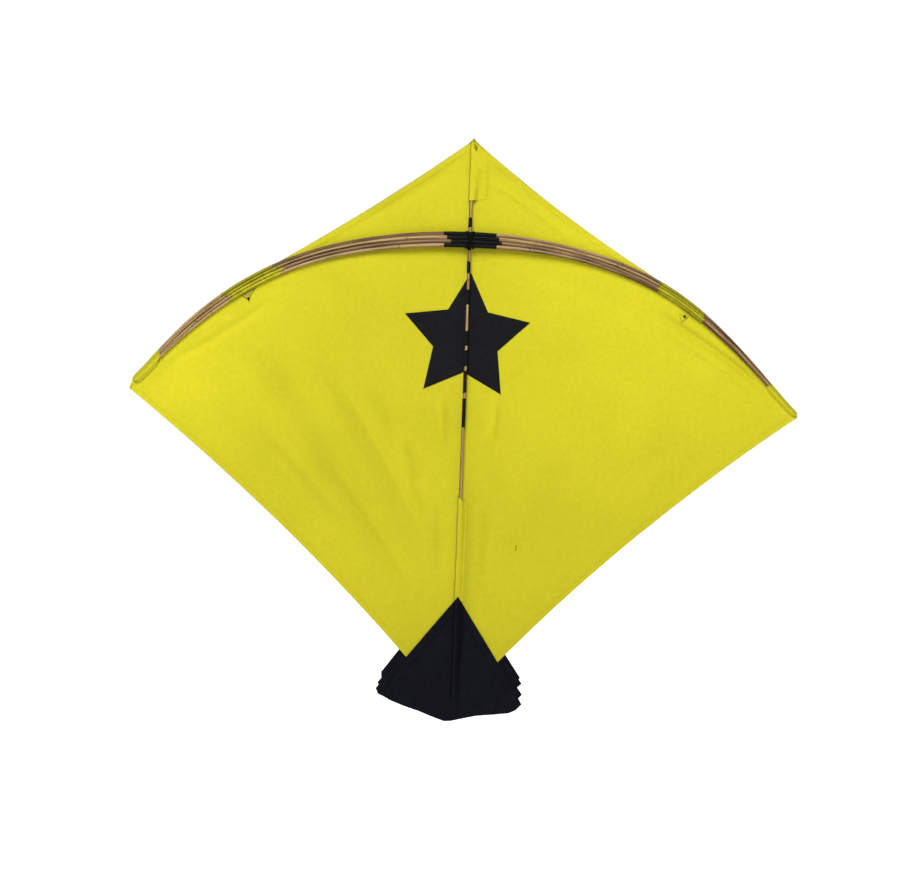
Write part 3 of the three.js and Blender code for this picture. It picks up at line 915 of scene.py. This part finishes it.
def add_spine():
    z = np.linspace(SPINE_LOW[2], SPINE_HIGH[2], 300)
    section = rounded_box(SPINE_HALF, SPINE_DEPTH_HALF, 24)
    swell = joint_swell(z, CANE_JOINTS, 2.2)
    size = 0.97 + 0.03 * swell + 0.02 * ripple(z, z * 0, 60, 11)
    sway = spine_x(z) + 0.10 * ripple(z, z * 0, 180, 12)
    x = section[None, :, 0] * (size * spine_narrow(z))[:, None] + sway[:, None]
    half_depth = (SPINE_HIGH[1] - spine_front(z)) / 2
    depth = section[None, :, 1] / SPINE_DEPTH_HALF * (half_depth * np.minimum(size, 1.0))[:, None]
    y = (SPINE_HIGH[1] - half_depth)[:, None] + depth
    rings = stacked(x, y, z[:, None])
    around = np.cumsum(np.linalg.norm(np.diff(section, axis=0, prepend=section[-1:]), axis=1))
    uv = stacked(z[:, None], around[None, :])
    # Painted shade on the cane's sides, darkest along its left edge; the rings by the joints are real
    # marks.
    left_edge_shade = 0.92 * smooth(0.30, 0.80, -section[:, 0] / SPINE_HALF)
    side_edge_shade = left_edge_shade + 0.7 * smooth(0.70, 0.98, section[:, 0] / SPINE_HALF)
    ring_mark = joint_swell(z, [j + 1.6 for j in CANE_JOINTS], 0.7) * 0.6
    shade = np.clip(side_edge_shade[None, :] + ring_mark[:, None], 0, 1)
    spine = tube_solid("spine_cane", rings, CANE, uv, shade)
    fixed(spine, "bamboo", "spine")


BAND_COUNT = 8
BROWN_BAND = 7
BAND_PITCH = 3.4
SLEEVE_PITCH = 3.1
LAP_EDGE = 0.9
TAPE_CLEARANCE = 0.04


def lap_turn(place, angle, pitch, shift):
    """How far round its own turn the tape is, from 0 to 1, as it winds along."""
    return (place / pitch + angle / (2 * np.pi) + shift) % 1


def add_bands():
    for number in range(1, BAND_COUNT + 1):
        low, high = box_mm(f"spine_band_{number}")
        z = np.arange(low[2], high[2] + 0.2, 0.4)
        around = 28
        angle = round_angles(around)
        section = rounded_box(1, 1, around)
        turn = lap_turn(z[:, None], angle[None, :], BAND_PITCH, 0.37 * number)
        lap = 0.22 + 0.13 * turn + 0.03 * ripple(z[:, None] * 2, angle[None, :] * 3, 4, 40 + number)
        reach_x = (SPINE_HALF + lap) * section[None, :, 0]
        reach_y = (SPINE_DEPTH_HALF + lap) * section[None, :, 1]
        slant = 0.5 * section[None, :, 0] * np.cos(number)
        heights = z[:, None] + slant
        middle = spine_x(heights)
        outer = stacked(middle + reach_x, SPINE_MIDDLE + reach_y, heights)
        inner_x = middle + (SPINE_HALF + TAPE_CLEARANCE) * section[:, 0]
        inner_y = SPINE_MIDDLE + (SPINE_DEPTH_HALF + TAPE_CLEARANCE) * section[:, 1]
        inner = stacked(inner_x, inner_y, heights)
        uv = stacked(heights, angle[None, :] * 3)
        worn = np.where(turn > LAP_EDGE, 0.45, 0.0)
        material = BROWN_TAPE if number == BROWN_BAND else TAPE
        band = shell_solid(f"tape_band_{number}", outer, inner, material, uv, worn)
        fixed(band, "black_tape", f"spine_band_{number}")


# Each cover's edge is how far it takes to come down to the sail, on the spine's left and on its right.
# Its mouth is a place and the length over which it widens. It goes past the CAD piece below and above.
# Its bottom and top edges slant, and its line is the strength of a painted shadow line on the spine's
# right.
COVERS = {
    "upper": {
        "edge": (1.2, 13.0), "mouth": (box_mm("spine_cover_upper")[0][2], 46.0),
        "past": (0.0, 3.6), "slant": (2.0, 0.0), "line": 0.0,
    },
    "lower": {
        "edge": (1.2, 5.0), "mouth": (box_mm("spine_cover_lower")[1][2], -14.0),
        "past": (6.0, 0.0), "slant": (0.0, -6.0), "line": 0.12,
    },
}
COVER_SEAM = (0.9, 2.5)


def cover_height(x, z, place):
    """How far a cloth over the spine stands off the sail: close on the left, sloping on the right.

    Its mouth hugs the spine.
    """
    mouth, length = COVERS[place]["mouth"]
    wide = 0.35 + 0.65 * smooth(-0.3, 1, (z - mouth) / length)
    left, right = COVERS[place]["edge"]
    reach = np.where(x < 0, left, np.maximum(left, right * wide))
    crown = -spine_front(z) + 0.3
    t = np.clip((np.abs(x) - SPINE_HALF * spine_narrow(z) - 0.05) / reach, 0, 1)
    return crown * (1 - t) ** 2 * (1 + 2 * t)


def cover_span(place):
    """The cover's bottom and top, and its reach to the left and to the right of the spine's middle."""
    low, high = box_mm(f"spine_cover_{place}")
    below, above = COVERS[place]["past"]
    left, right = COVERS[place]["edge"]
    return low[2] - below, high[2] + above, SPINE_HALF + left + 0.8, SPINE_HALF + right + 1.6


def cover_grid(place):
    """Places over the cover, with x counted from the spine's middle."""
    bottom, top, left, right = cover_span(place)
    across = np.linspace(-left, right, 52)
    along = np.linspace(0, 1, int((top - bottom) / 1.2))
    x, t = np.meshgrid(across, along)
    bottom_slant, top_slant = COVERS[place]["slant"]
    leading = OUTLINE["right"]["leading"]
    nose_edge = np.interp(np.abs(x), leading[:, 0], leading[:, 1], left=NOSE_Z - 1) - 1.2
    bottom_edge = bottom + bottom_slant * x / right
    top_edge = np.minimum(top + top_slant * x / right, nose_edge)
    return x, bottom_edge + (top_edge - bottom_edge) * t


def cover_y(x, z, place):
    """The cover's surface, with small pulls everywhere but at its two long edges."""
    _, _, left, right = cover_span(place)
    side_slope = smooth(SPINE_HALF, SPINE_HALF + 2, np.abs(x)) * (1 - smooth(0.5 * right, right, x))
    pulls = 0.14 * ripple(x, z, 9, 51, 1.6, 1.2) * side_slope + 0.04 * ripple(x, z, 5, 52)
    y = sail_y(x + spine_x(z), z) - 0.27 - cover_height(x, z, place)
    return y - np.abs(pulls) * (x > -left + 0.5) * (x < right - 0.5)


def cover_shade(x, y, z, place):
    """Painted shadow in a groove beside the spine and along a line on its right, over the sail's painted
    shade, which is taken away as painted light where the cloth slopes away from the light.
    """
    wander = 0.25 * ripple(z, z * 0, 30, 54)
    # Painted shadow in the gap on the spine's left.
    groove = bell(x + SPINE_HALF + 0.55 + wander, 0.55)
    right_shadow_line = COVERS[place]["line"] * bell(x - SPINE_HALF - 0.4, 0.8)
    # Painted light where the cloth slopes away from the light, cancelling its shading.
    sloping = np.clip(2.5 * np.gradient(y, axis=1) / np.gradient(x, axis=1), 0, 1) * (x > 0)
    return np.clip(sail_painted_shade(x + spine_x(z), z) * (1 - sloping) + 0.5 * groove + right_shadow_line, 0, 1)


def add_covers():
    for place in COVERS:
        x, z = cover_grid(place)
        y = cover_y(x, z, place)
        shade = cover_shade(x, y, z, place)
        cover = cloth_solid(f"cover_{place}", x + spine_x(z), y, z, YELLOW, 0.14, shade)
        fixed(cover, "sleeve_cloth", f"spine_cover_{place}")
        bottom, top, left, right = cover_span(place)
        inset, short = COVER_SEAM
        seam_x = right - inset + spine_x((bottom + top) / 2)
        line = np.array([(seam_x, bottom + short), (seam_x, top - short)])
        seam = stitches(f"cover_stitches_{place}", line, "right", 0.46, 1.9, 1.0, 0.13)
        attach(seam, "root")


# ---- Bow ----


def along_bow(arc, row, out, depth):
    """Points beside one strand: out and depth are measured from its middle."""
    x, z, out_x, out_z = bow_at(arc)
    reach = row * strand_spacing(arc) + out
    return stacked(x + reach * out_x, strand_depth(arc) + depth, z + reach * out_z)


def ring_on_strand(arc, index, reach, angle, wide, margin, power=1.0):
    """Rings round one strand, wider than deep, that stop short of the gap's middle by margin."""
    out = np.minimum(wide * reach, strand_spacing(arc) / 2 - margin) * signed_power(np.cos(angle), power)
    return along_bow(np.broadcast_to(arc, out.shape), strand_row(index), out, reach * np.sin(angle))


# The strands are split strips: a little wider than they are deep.
STRIP_WIDTH = 1.2

# How dark each strand is on its outer and its inner half, as (arc, outer, inner) along each wing, from
# the outer strand inwards. Partly the split cane's dark skin, which faces into the bow on most of them, and
# partly painted shade, as on the inner strand's inner half beside the sail.
STRAND_SKIN_AND_SHADE = {
    "left": (
        [(0, 0.7, 0.6), (150, 0.8, 0.65), (200, 0.8, 0.6), (260, 0.35, 0.15), (300, 0.4, 0), (376, 0.5, 0)],
        [(0, 0.1, 0.5), (80, 0, 0.75), (140, 0.05, 0.9), (190, 0.4, 0.9), (260, 0.35, 0.4),
         (300, 0, 0.7), (376, 0, 0.2)],
        [(0, 0.5, 0.85), (150, 0.55, 0.85), (200, 0.25, 0.6), (260, 0, 0.4),
         (300, 0.3, 0.2), (376, 0.3, 0)],
        [(0, 0.1, 0.5), (60, 0, 0.4), (200, 0, 0.2), (376, 0, 0)],
    ),
    "right": (
        [(0, 0.15, 0.6), (100, 0.3, 0.6), (200, 0.6, 0.75), (260, 0.3, 0.6),
         (300, 0.85, 0.95), (340, 0.9, 0.6)],
        [(0, 0.05, 0.6), (150, 0, 0.6), (200, 0, 0.7), (255, 0.9, 0.7), (280, 0.85, 0.4),
         (305, 0.8, 0), (340, 0.3, 0)],
        [(0, 0.4, 0.85), (120, 0.5, 0.7), (150, 0.5, 0.5), (200, 0.4, 0.1), (260, 0, 0.5),
         (300, 0, 0.85), (384, 0, 0.7)],
        [(0, 0, 0.6), (80, 0.1, 0.7), (120, 0.3, 0.85), (180, 0.7, 0.95), (260, 0.95, 0.8),
         (310, 0.95, 0.7), (340, 0.7, 0.4)],
    ),
}


def add_strand(side, index):
    s = SIDES[side]
    rng = np.random.default_rng(70 + index + 10 * s)
    arc = np.linspace(0, STRAND_END[side] - 0.8 * index, 340)
    joints = np.cumsum(rng.uniform(75, 120, 5)) - 30
    swell = 1 + 0.10 * joint_swell(arc, joints, 1.8) + 0.02 * ripple(arc, 0, 50, 80 + index + s)
    radius = strand_radius(s * arc) * swell * np.where(arc > arc[-1] - 1.2, 0.8, 1.0)
    section = rounded_box(1.0, 0.88, 16, 0.8)
    grid = s * arc[:, None]
    half_width = np.minimum(STRIP_WIDTH * radius, strand_spacing(s * arc) / 2 - 0.07)
    out, depth = half_width[:, None] * section[None, :, 0], radius[:, None] * section[None, :, 1]
    rings = along_bow(np.broadcast_to(grid, out.shape), strand_row(index), out, depth)
    around = np.arange(16) / 16 * 2 * np.pi * 1.5
    uv = stacked(grid + 500 * index, around[None, :] + 30 * index)
    marks = joint_swell(arc, joints + 1.4, 0.6) * 0.8
    outer, inner = (between_knots(arc, STRAND_SKIN_AND_SHADE[side][index], k)[:, None] for k in (1, 2))
    outward = smooth(-0.3, 0.3, section[:, 0])[None, :]
    # Partly the cane's dark skin and partly painted shade, by the table above.
    skin = outer * outward + inner * (1 - outward)
    skin = np.clip(skin + 0.10 * ripple(arc, 0, 45, 170 + index + s)[:, None], 0, 0.9)
    shade = np.maximum(marks[:, None], skin)
    cane = tube_solid(f"bow_cane_{side}_{index + 1}", rings, STRAND_CANE, uv, shade)
    flexing(cane)
    dress(cane, "bamboo", f"bow_strand_{side}_{index + 1}", f"bow_strand_centre_{index + 1}")


CENTRE_SLEEVES = ((-26, 26), (-23, 29), (-19, 32), (-26, 27))


def add_centre_sleeve(index):
    start, end = CENTRE_SLEEVES[index]
    arc = np.arange(start, end + 0.25, 0.5)[:, None]
    angle = round_angles(20)[None, :]
    turn = lap_turn(arc, angle, SLEEVE_PITCH, 0.3 * index)
    gap = 0.10 + 0.12 * turn + 0.03 * ripple(arc * 2, angle * 3, 5, 90 + index)
    radius = strand_radius(arc)
    outer, inner = (
        ring_on_strand(arc, index, reach, angle, 1.3, 0.004, 0.5) for reach in (radius + gap, radius + 0.02)
    )
    uv = stacked(arc, angle * 1.8 + 20 * index)
    worn = np.where(turn > LAP_EDGE, 0.5, 0.0)
    sleeve = shell_solid(f"sleeve_{index + 1}", outer, inner, TAPE, uv, worn)
    fixed(sleeve, "black_tape", f"centre_sleeve_{index + 1}")


POCKET_SLEEVES = {
    "left": ((199, 257), (196, 254), (189, 249), (195, 254)),
    "right": ((195, 251), (196, 252), (197, 254), (198, 254)),
}


# How much painted shade darkens each pocket sleeve, from the outer strand inwards.
SLEEVE_SHADE = {"left": (0.45, 0.38, 0.12, 0.06), "right": (0.45, 0.36, 0.0, 0.40)}


def add_pocket_sleeve(side, index):
    """A loose cloth tube over one strand, wrinkled and a little frayed at its ends."""
    s = SIDES[side]
    start, end = POCKET_SLEEVES[side][index]
    seed = 110 + index + 10 * s
    angle = round_angles(24)[None, :]
    t = np.linspace(0, 1, int(end - start))[:, None]
    frayed = 0.7 * ripple(np.cos(angle) * 3, np.sin(angle) * 3, 4, seed)
    arc = start + frayed + (end - start - 0.6 * frayed) * t
    slack = 0.10 * ripple(arc, angle * 1.5, 9, seed + 1, 2.0, 0.4)
    slack = slack + 0.05 * ripple(arc, angle * 1.5, 3.5, seed + 2)
    flare = 0.16 * (np.exp(-t * 22) + np.exp(-(1 - t) * 22))
    reach = strand_radius(s * arc) + np.maximum(0.13 + 0.7 * slack + flare, 0.09)
    outer, inner = (
        ring_on_strand(s * arc, index, r, angle, STRIP_WIDTH, 0.02) for r in (reach, reach - 0.05)
    )
    uv = stacked(arc, angle * 1.6 + 15 * index)
    ends = 0.35 * (np.exp(-t * 40) + np.exp(-(1 - t) * 40))
    # Painted shade on each sleeve's sides, where it meets its neighbours.
    sides = SLEEVE_SHADE[side][index] + 0.35 * smooth(0.6, 0.97, np.abs(np.cos(angle)))
    shade = np.clip(ends + sides + 0.10 * ripple(arc, angle, 12, seed + 3), 0, 1)
    sleeve = shell_solid(f"wing_sleeve_{side}_{index + 1}", outer, inner, SLEEVE_YELLOW, uv, shade)
    flexing(sleeve)
    dress(sleeve, "sleeve_cloth", f"pocket_sleeve_{side}_{index + 1}")


# Where the cloth over the strand ends begins, at its outer and its inner edge.
TIP_MOUTH = {"left": (336.0, 346.0), "right": (347.5, 345.5)}
POCKET_DROP = 1.9
POCKET_REACH = {"left": 2.8, "right": 1.4}
POCKET_EDGE_SHADE = 0.34
POCKET_ROUND = 4


def add_tip_pocket(side):
    """Cloth round all four strand ends. Its mouth is staggered and its end rounded."""
    s = SIDES[side]
    angle = round_angles(64)[None, :]
    t = np.linspace(0, 1, 60)[:, None]
    outer_mouth, inner_mouth = TIP_MOUTH[side]
    turn = 0.5 - 0.5 * np.cos(angle)
    frayed = 0.5 * ripple(np.cos(angle) * 9, np.sin(angle) * 3, 4, 140 + s)
    mouth = outer_mouth + (inner_mouth - outer_mouth) * turn + frayed
    end = STRAND_END[side] + 2.6
    arc = mouth + (end - mouth) * t
    bend = end - POCKET_ROUND
    close = np.sqrt(np.clip(1 - ((arc - bend) / POCKET_ROUND) ** 2, 0.0, 1))
    close = np.where(arc < bend, 1.0, np.maximum(close, 0.06))
    half = bundle_half(s * arc)
    across, tall = signed_power(np.cos(angle), 0.8), signed_power(np.sin(angle), 0.7)
    groove = 0.10 * np.cos(2 * np.pi * across * half / strand_spacing(s * arc))
    # On its inner side the cloth comes down to the sail.
    down = smooth(0.90, 1.0, -across) * smooth(0, 0.2, t) * close

    def ring(extra):
        out = (half + 0.22 + extra + POCKET_REACH[side] * down) * across * close
        thick = (strand_radius(s * arc) + 0.36 + extra - groove) * close
        return along_bow(s * arc, 0, out, thick * tall + POCKET_DROP * down)

    uv = stacked(arc, angle * 4)
    lip = 0.2 * np.exp(-t * 30)
    # Painted shade, deepest along the pocket's outer edge.
    shade = np.clip(lip + POCKET_EDGE_SHADE * smooth(-0.7, 0.5, across), 0, 1)
    pocket = shell_solid(f"tip_sleeve_{side}", ring(0.12), ring(0.0), POCKET_YELLOW, uv, shade)
    flexing(pocket)
    dress(pocket, "sleeve_cloth", f"tip_pocket_{side}")


LASHING_TURNS = 5
LASHING_PITCH = 0.62
LASHING_RADIUS = 0.29
LASHING_BEHIND = -0.85


def add_lashing():
    """Turns of thread over each diagonal of the crossing, tight round the sleeves and spine."""
    front, behind = STRAND_DEPTH["centre"] - 1.56 - 0.62, LASHING_BEHIND
    parts = []
    for diagonal in (1, -1):
        for turn in range(LASHING_TURNS):
            shift = LASHING_PITCH * (turn - LASHING_TURNS // 2)
            lift = 0.0 if diagonal > 0 else -0.5
            places = [
                (-3.0 + shift, front + lift, 5.2), (0 + shift, front + lift - 0.15, -1.9),
                (3.0 + shift, front + lift, -9.2), (3.3 + shift, front + 1.9, -10.6),
                (2.9 + shift * 0.6, -4.2, -10.0), (2.6, -2.2, -8.4), (2.2, behind, -5.6 + shift * 0.4),
                (-2.8, behind, 2.4 + shift * 0.4), (-3.2, -2.2, 5.2),
                (-3.3 + shift * 0.6, -4.2, 6.2), (-3.4 + shift, front + 1.9, 6.5),
            ]
            line = thread_loop(np.array(places) * [diagonal, 1, 1], 90)
            rings = swept(line, LASHING_RADIUS, 7, True)
            run = np.broadcast_to(np.arange(90)[:, None] * 0.6, (90, 7))
            uv = stacked(run, np.arange(7)[None, :] * 0.26)
            parts.append(tube_solid(f"turn_{diagonal}_{turn}", rings, THREAD, uv, loop=True))
    lashing = joined("lashing", parts)
    fixed(lashing, "black_thread", "bow_lashing")


def add_bow():
    for side in SIDES:
        for index in range(STRANDS):
            add_strand(side, index)
            add_pocket_sleeve(side, index)
        add_tip_pocket(side)
    for index in range(STRANDS):
        add_centre_sleeve(index)
    add_lashing()


# ---- Tail ----

# Each ply's outline, left half and right half, from the top out to its corner and back to its foot.
FRONT_PLY = {
    "left": [(0, -358.2), (23.8, -389), (48.7, -421.3), (60.7, -443), (68.4, -457), (63.3, -464),
             (49, -469.5), (34, -474), (20, -479), (7, -483.3), (0, -482.8)],
    "right": [(0, -358.2), (22.2, -391), (43.1, -422), (57.3, -443), (69.7, -463.4), (64, -469.5),
              (57, -472.8), (40, -475), (24, -476.8), (10, -480.3), (0, -482.8)],
}
FRONT_PLY_LEAN = 2.3
PLY_COLUMNS = {"front": 170, "rear": 84}
PLY_ROWS = 84
PLY_HEM = 8
PLY_HEM_LIFT = -0.25
REAR_PLIES = (
    {"left": [(0, -353), (58, -429), (76.3, -453), (74, -458.5), (58, -466), (0, -477)],
     "right": [(0, -353), (52, -429), (70.3, -454), (66.5, -458), (58, -468), (0, -477)]},
    {"left": [(0, -347), (56, -424), (74.7, -447), (72.5, -453), (56, -461), (0, -471)],
     "right": [(0, -347), (52, -419), (69.4, -443), (65.3, -447), (56, -462), (0, -471)]},
    {"left": [(0, -341), (54.9, -414), (71.5, -436.6), (71.5, -442.4), (54, -454), (0, -465)],
     "right": [(0, -341), (51.8, -414.4), (67.5, -437), (65, -442), (54, -456), (0, -465)]},
)


def tail_reach(x, z):
    """How far a point is past the line where the tail leaves the sail."""
    (x0, z0), (x1, z1) = TAIL_LINE
    length = math.hypot(x1 - x0, z1 - z0)
    return ((np.abs(x) - x1) * (z0 - z1) - (z - z1) * (x0 - x1)) / length


def tail_wave(x, z):
    """The free cloth's slow waves, the same in every ply so that they never cross."""
    free = smooth(0, 26, tail_reach(x, z))
    return free * (1.5 * ripple(x, z, 52, 201) + 0.5 * ripple(x, z, 22, 202))


def front_ply_y(x, z):
    """The front ply lies on the sail and over the spine's foot, close on the left of the spine."""
    crown = -spine_front(z) + 0.75
    foot = smooth(SPINE_LOW[2] - 14, SPINE_LOW[2] + 2, z)
    off = x - spine_x(z)
    edge = np.where(off < 0, SPINE_HALF + 1.5, 8.0)
    ridge = crown * (1 - smooth(SPINE_HALF - 0.2, edge, np.abs(off))) * (0.10 + 0.90 * foot)
    puckers = 0.45 * ripple(x, z, 20, 203, 2.6, -1.1) * smooth(4, 16, np.abs(x))
    fine = 0.08 * ripple(x, z, 7, 204)
    crease_x = 8.0 + 0.05 * (z + 400)
    crease = 0.9 * bell(x - crease_x, 1.5) * smooth(-452, -430, z) * (1 - smooth(-392, -372, z))
    under = np.minimum(sail_y(x, z), 0)
    return under - 0.8 - ridge - np.abs(puckers) + fine + crease + tail_wave(x, z)


def front_ply_shade(x, z, from_edge):
    """Painted shade lines: beside the spine, in the crease, and along the fold inside the slanted edges."""
    foot = smooth(SPINE_LOW[2] - 6, SPINE_LOW[2] + 10, z)
    off = x - spine_x(z)
    beside = bell(off + SPINE_HALF - 0.1, 0.6) * foot
    inner = 0.8 * bell(off - SPINE_HALF - 0.6, 0.6) * foot
    fold = 0.7 * bell(from_edge - PLY_HEM, 0.8)
    return np.clip(beside + inner + fold, 0, 1)


def ply_half(name, side, outline, surface, columns):
    """One half of a ply. The front ply leans and has its own painted shade lines."""
    outline = np.array(outline, float)
    corner = outline[:, 0].argmax()
    top, bottom = outline[:corner + 1], outline[corner:][::-1]
    is_front = surface is front_ply_y
    reach = outline[corner, 0]
    grid_x, z, area = half_panel(top, bottom, reach, columns, PLY_ROWS, 1.2, 0.2)
    high, low = z[:, -1], z[:, 0]
    grid_x = SIDES[side] * grid_x
    if is_front:
        grid_x = grid_x + FRONT_PLY_LEAN * np.clip((z - low[0]) / (high[0] - low[0]), 0, 1)
    fall = (high[0] - high[-1]) / reach
    from_edge = (high[:, None] - z) / math.hypot(1, fall)
    fold = np.where(from_edge < PLY_HEM, PLY_HEM_LIFT, 0.0)
    # Painted shade lines; on a rear ply, one along the fold inside its edge.
    shade = front_ply_shade(grid_x, z, from_edge) if is_front else 0.6 * bell(from_edge - 6, 0.8)
    piece = cloth_solid(name, grid_x, surface(grid_x, z) + fold, z, TAIL_BLACK, 0.2, shade)
    return piece, area, (reach * MM, (top[0, 1] - min(low)) * MM)


def rear_ply_surface(number):
    depth = 0.05 + 0.6 * number

    def behind(x, z):
        return depth + 0.10 * ripple(x, z, 30, 210) + tail_wave(x, z)

    return behind


def add_tail():
    plies = [("front", FRONT_PLY, front_ply_y, PLY_COLUMNS["front"])]
    for number, ply in enumerate(REAR_PLIES, start=1):
        plies.append((f"rear_{number}", ply, rear_ply_surface(number), PLY_COLUMNS["rear"]))
    for side in SIDES:
        for ply, outlines, surface, columns in plies:
            piece, area, flat = ply_half(f"tail_ply_{ply}_{side}", side, outlines[side], surface, columns)
            fluttering(piece)
            dress(piece, "black_cloth", f"tail_{ply}_{side}", f"tail_{ply}_root")


def add_fleck():
    """A stray dark fibre caught in the sail."""
    line = [(58.6, 0, -304.6), (58.1, 0, -306.4), (58.3, 0, -308.2), (57.7, 0, -310.0)]
    line = np.array(line)
    line[:, 1] = sail_y(line[:, 0], line[:, 2]) - CLOTH / 2 - 0.1
    fleck = tube_solid("stray_fibre", swept(line, 0.3, 6), THREAD)
    fixed(fleck, "black_thread")


# ---- Stage, light and camera ----

CAMERA_AIM = Vector((-11.5, 0.0, -200.7)) * MM
CAMERA_ROLL = math.radians(2.3)
CAMERA_DISTANCE = 2.6
VIEW_WIDTH = 0.901


def add_camera():
    data = bpy.data.cameras.new("camera")
    data.sensor_width = 36
    data.lens = data.sensor_width * CAMERA_DISTANCE / VIEW_WIDTH
    camera = bpy.data.objects.new("camera", data)
    c, s = math.cos(CAMERA_ROLL), math.sin(CAMERA_ROLL)
    turn = Matrix(((c, -s, 0), (0, 0, -1), (s, c, 0)))
    camera.matrix_world = Matrix.Translation(CAMERA_AIM - Vector((0, CAMERA_DISTANCE, 0))) @ turn.to_4x4()
    bpy.context.scene.collection.objects.link(camera)
    bpy.context.scene.camera = camera


def add_light(name, kind, place, aim, power, size):
    """An area light of that size in metres, or a sun of that angle in degrees."""
    data = bpy.data.lights.new(name, kind)
    data.energy = power
    if kind == "SUN":
        data.angle = math.radians(size)
    else:
        data.size = size
    light = bpy.data.objects.new(name, data)
    light.location = place
    light.rotation_mode = "QUATERNION"
    light.rotation_quaternion = (Vector(aim) - Vector(place)).to_track_quat("-Z", "Y")
    bpy.context.scene.collection.objects.link(light)


def add_world():
    """White behind the kite and round the horizon, and a dark ceiling so that folds show."""
    world = bpy.data.worlds.new("studio")
    w = Nodes(world)
    background = w.nodes["Background"]
    place = w.node("ShaderNodeTexCoord").outputs["Generated"]
    split = w.node("ShaderNodeSeparateXYZ", {"Vector": place})
    both = w.node("ShaderNodeMath", operation="MULTIPLY")
    w.feed(both.inputs[0], w.between(split.outputs["Z"], 0.2, 0.5, 1.0, 0.08))
    w.feed(both.inputs[1], w.between(split.outputs["Y"], -0.3, 0.3, 0.75, 1.0))
    w.feed(background.inputs["Strength"], both.outputs["Value"])
    background.inputs["Color"].default_value = (1, 1, 1, 1)
    bpy.context.scene.world = world


FLOOR_REACH = 14.0
FLOOR_LEVEL = -0.75


def add_floor():
    """A pale floor that glows behind the kite, as a lit paper sweep does."""
    mesh = bpy.data.meshes.new("floor")
    turns = ((-1, -1), (1, -1), (1, 1), (-1, 1))
    corners = [(x * FLOOR_REACH, y * FLOOR_REACH, FLOOR_LEVEL) for x, y in turns]
    mesh.from_pydata(corners, [], [(0, 1, 2, 3)])
    floor = bpy.data.objects.new("floor", mesh)
    bpy.context.scene.collection.objects.link(floor)
    s = Shader("pale_floor", 0.9, Specular_IOR_Level=0.0, Emission_Color=(1, 1, 1, 1))
    split = s.node("ShaderNodeSeparateXYZ")
    s.feed(split.inputs["Vector"], s.node("ShaderNodeNewGeometry").outputs["Position"])
    s.feed(s.surface.inputs["Emission Strength"], s.between(split.outputs["Y"], 0.1, 0.6, 0.05, 0.85))
    mesh.materials.append(s.done((0.9, 0.9, 0.9, 1)))


def add_stage():
    add_floor()
    add_world()
    bpy.context.scene.view_settings.view_transform = "Standard"
    add_light("key", "AREA", (-0.5, -1.55, 1.4), (0, 0, -0.2), 60, 1.1)
    add_light("back_fill", "SUN", (0.35, 0.75, 0.55), (0, 0, 0), 1.6, 20)


add_camera()
add_stage()
add_sail()
add_star()
add_nose()
add_tabs()
add_spine()
add_bands()
add_covers()
add_bow()
add_tail()
add_fleck()
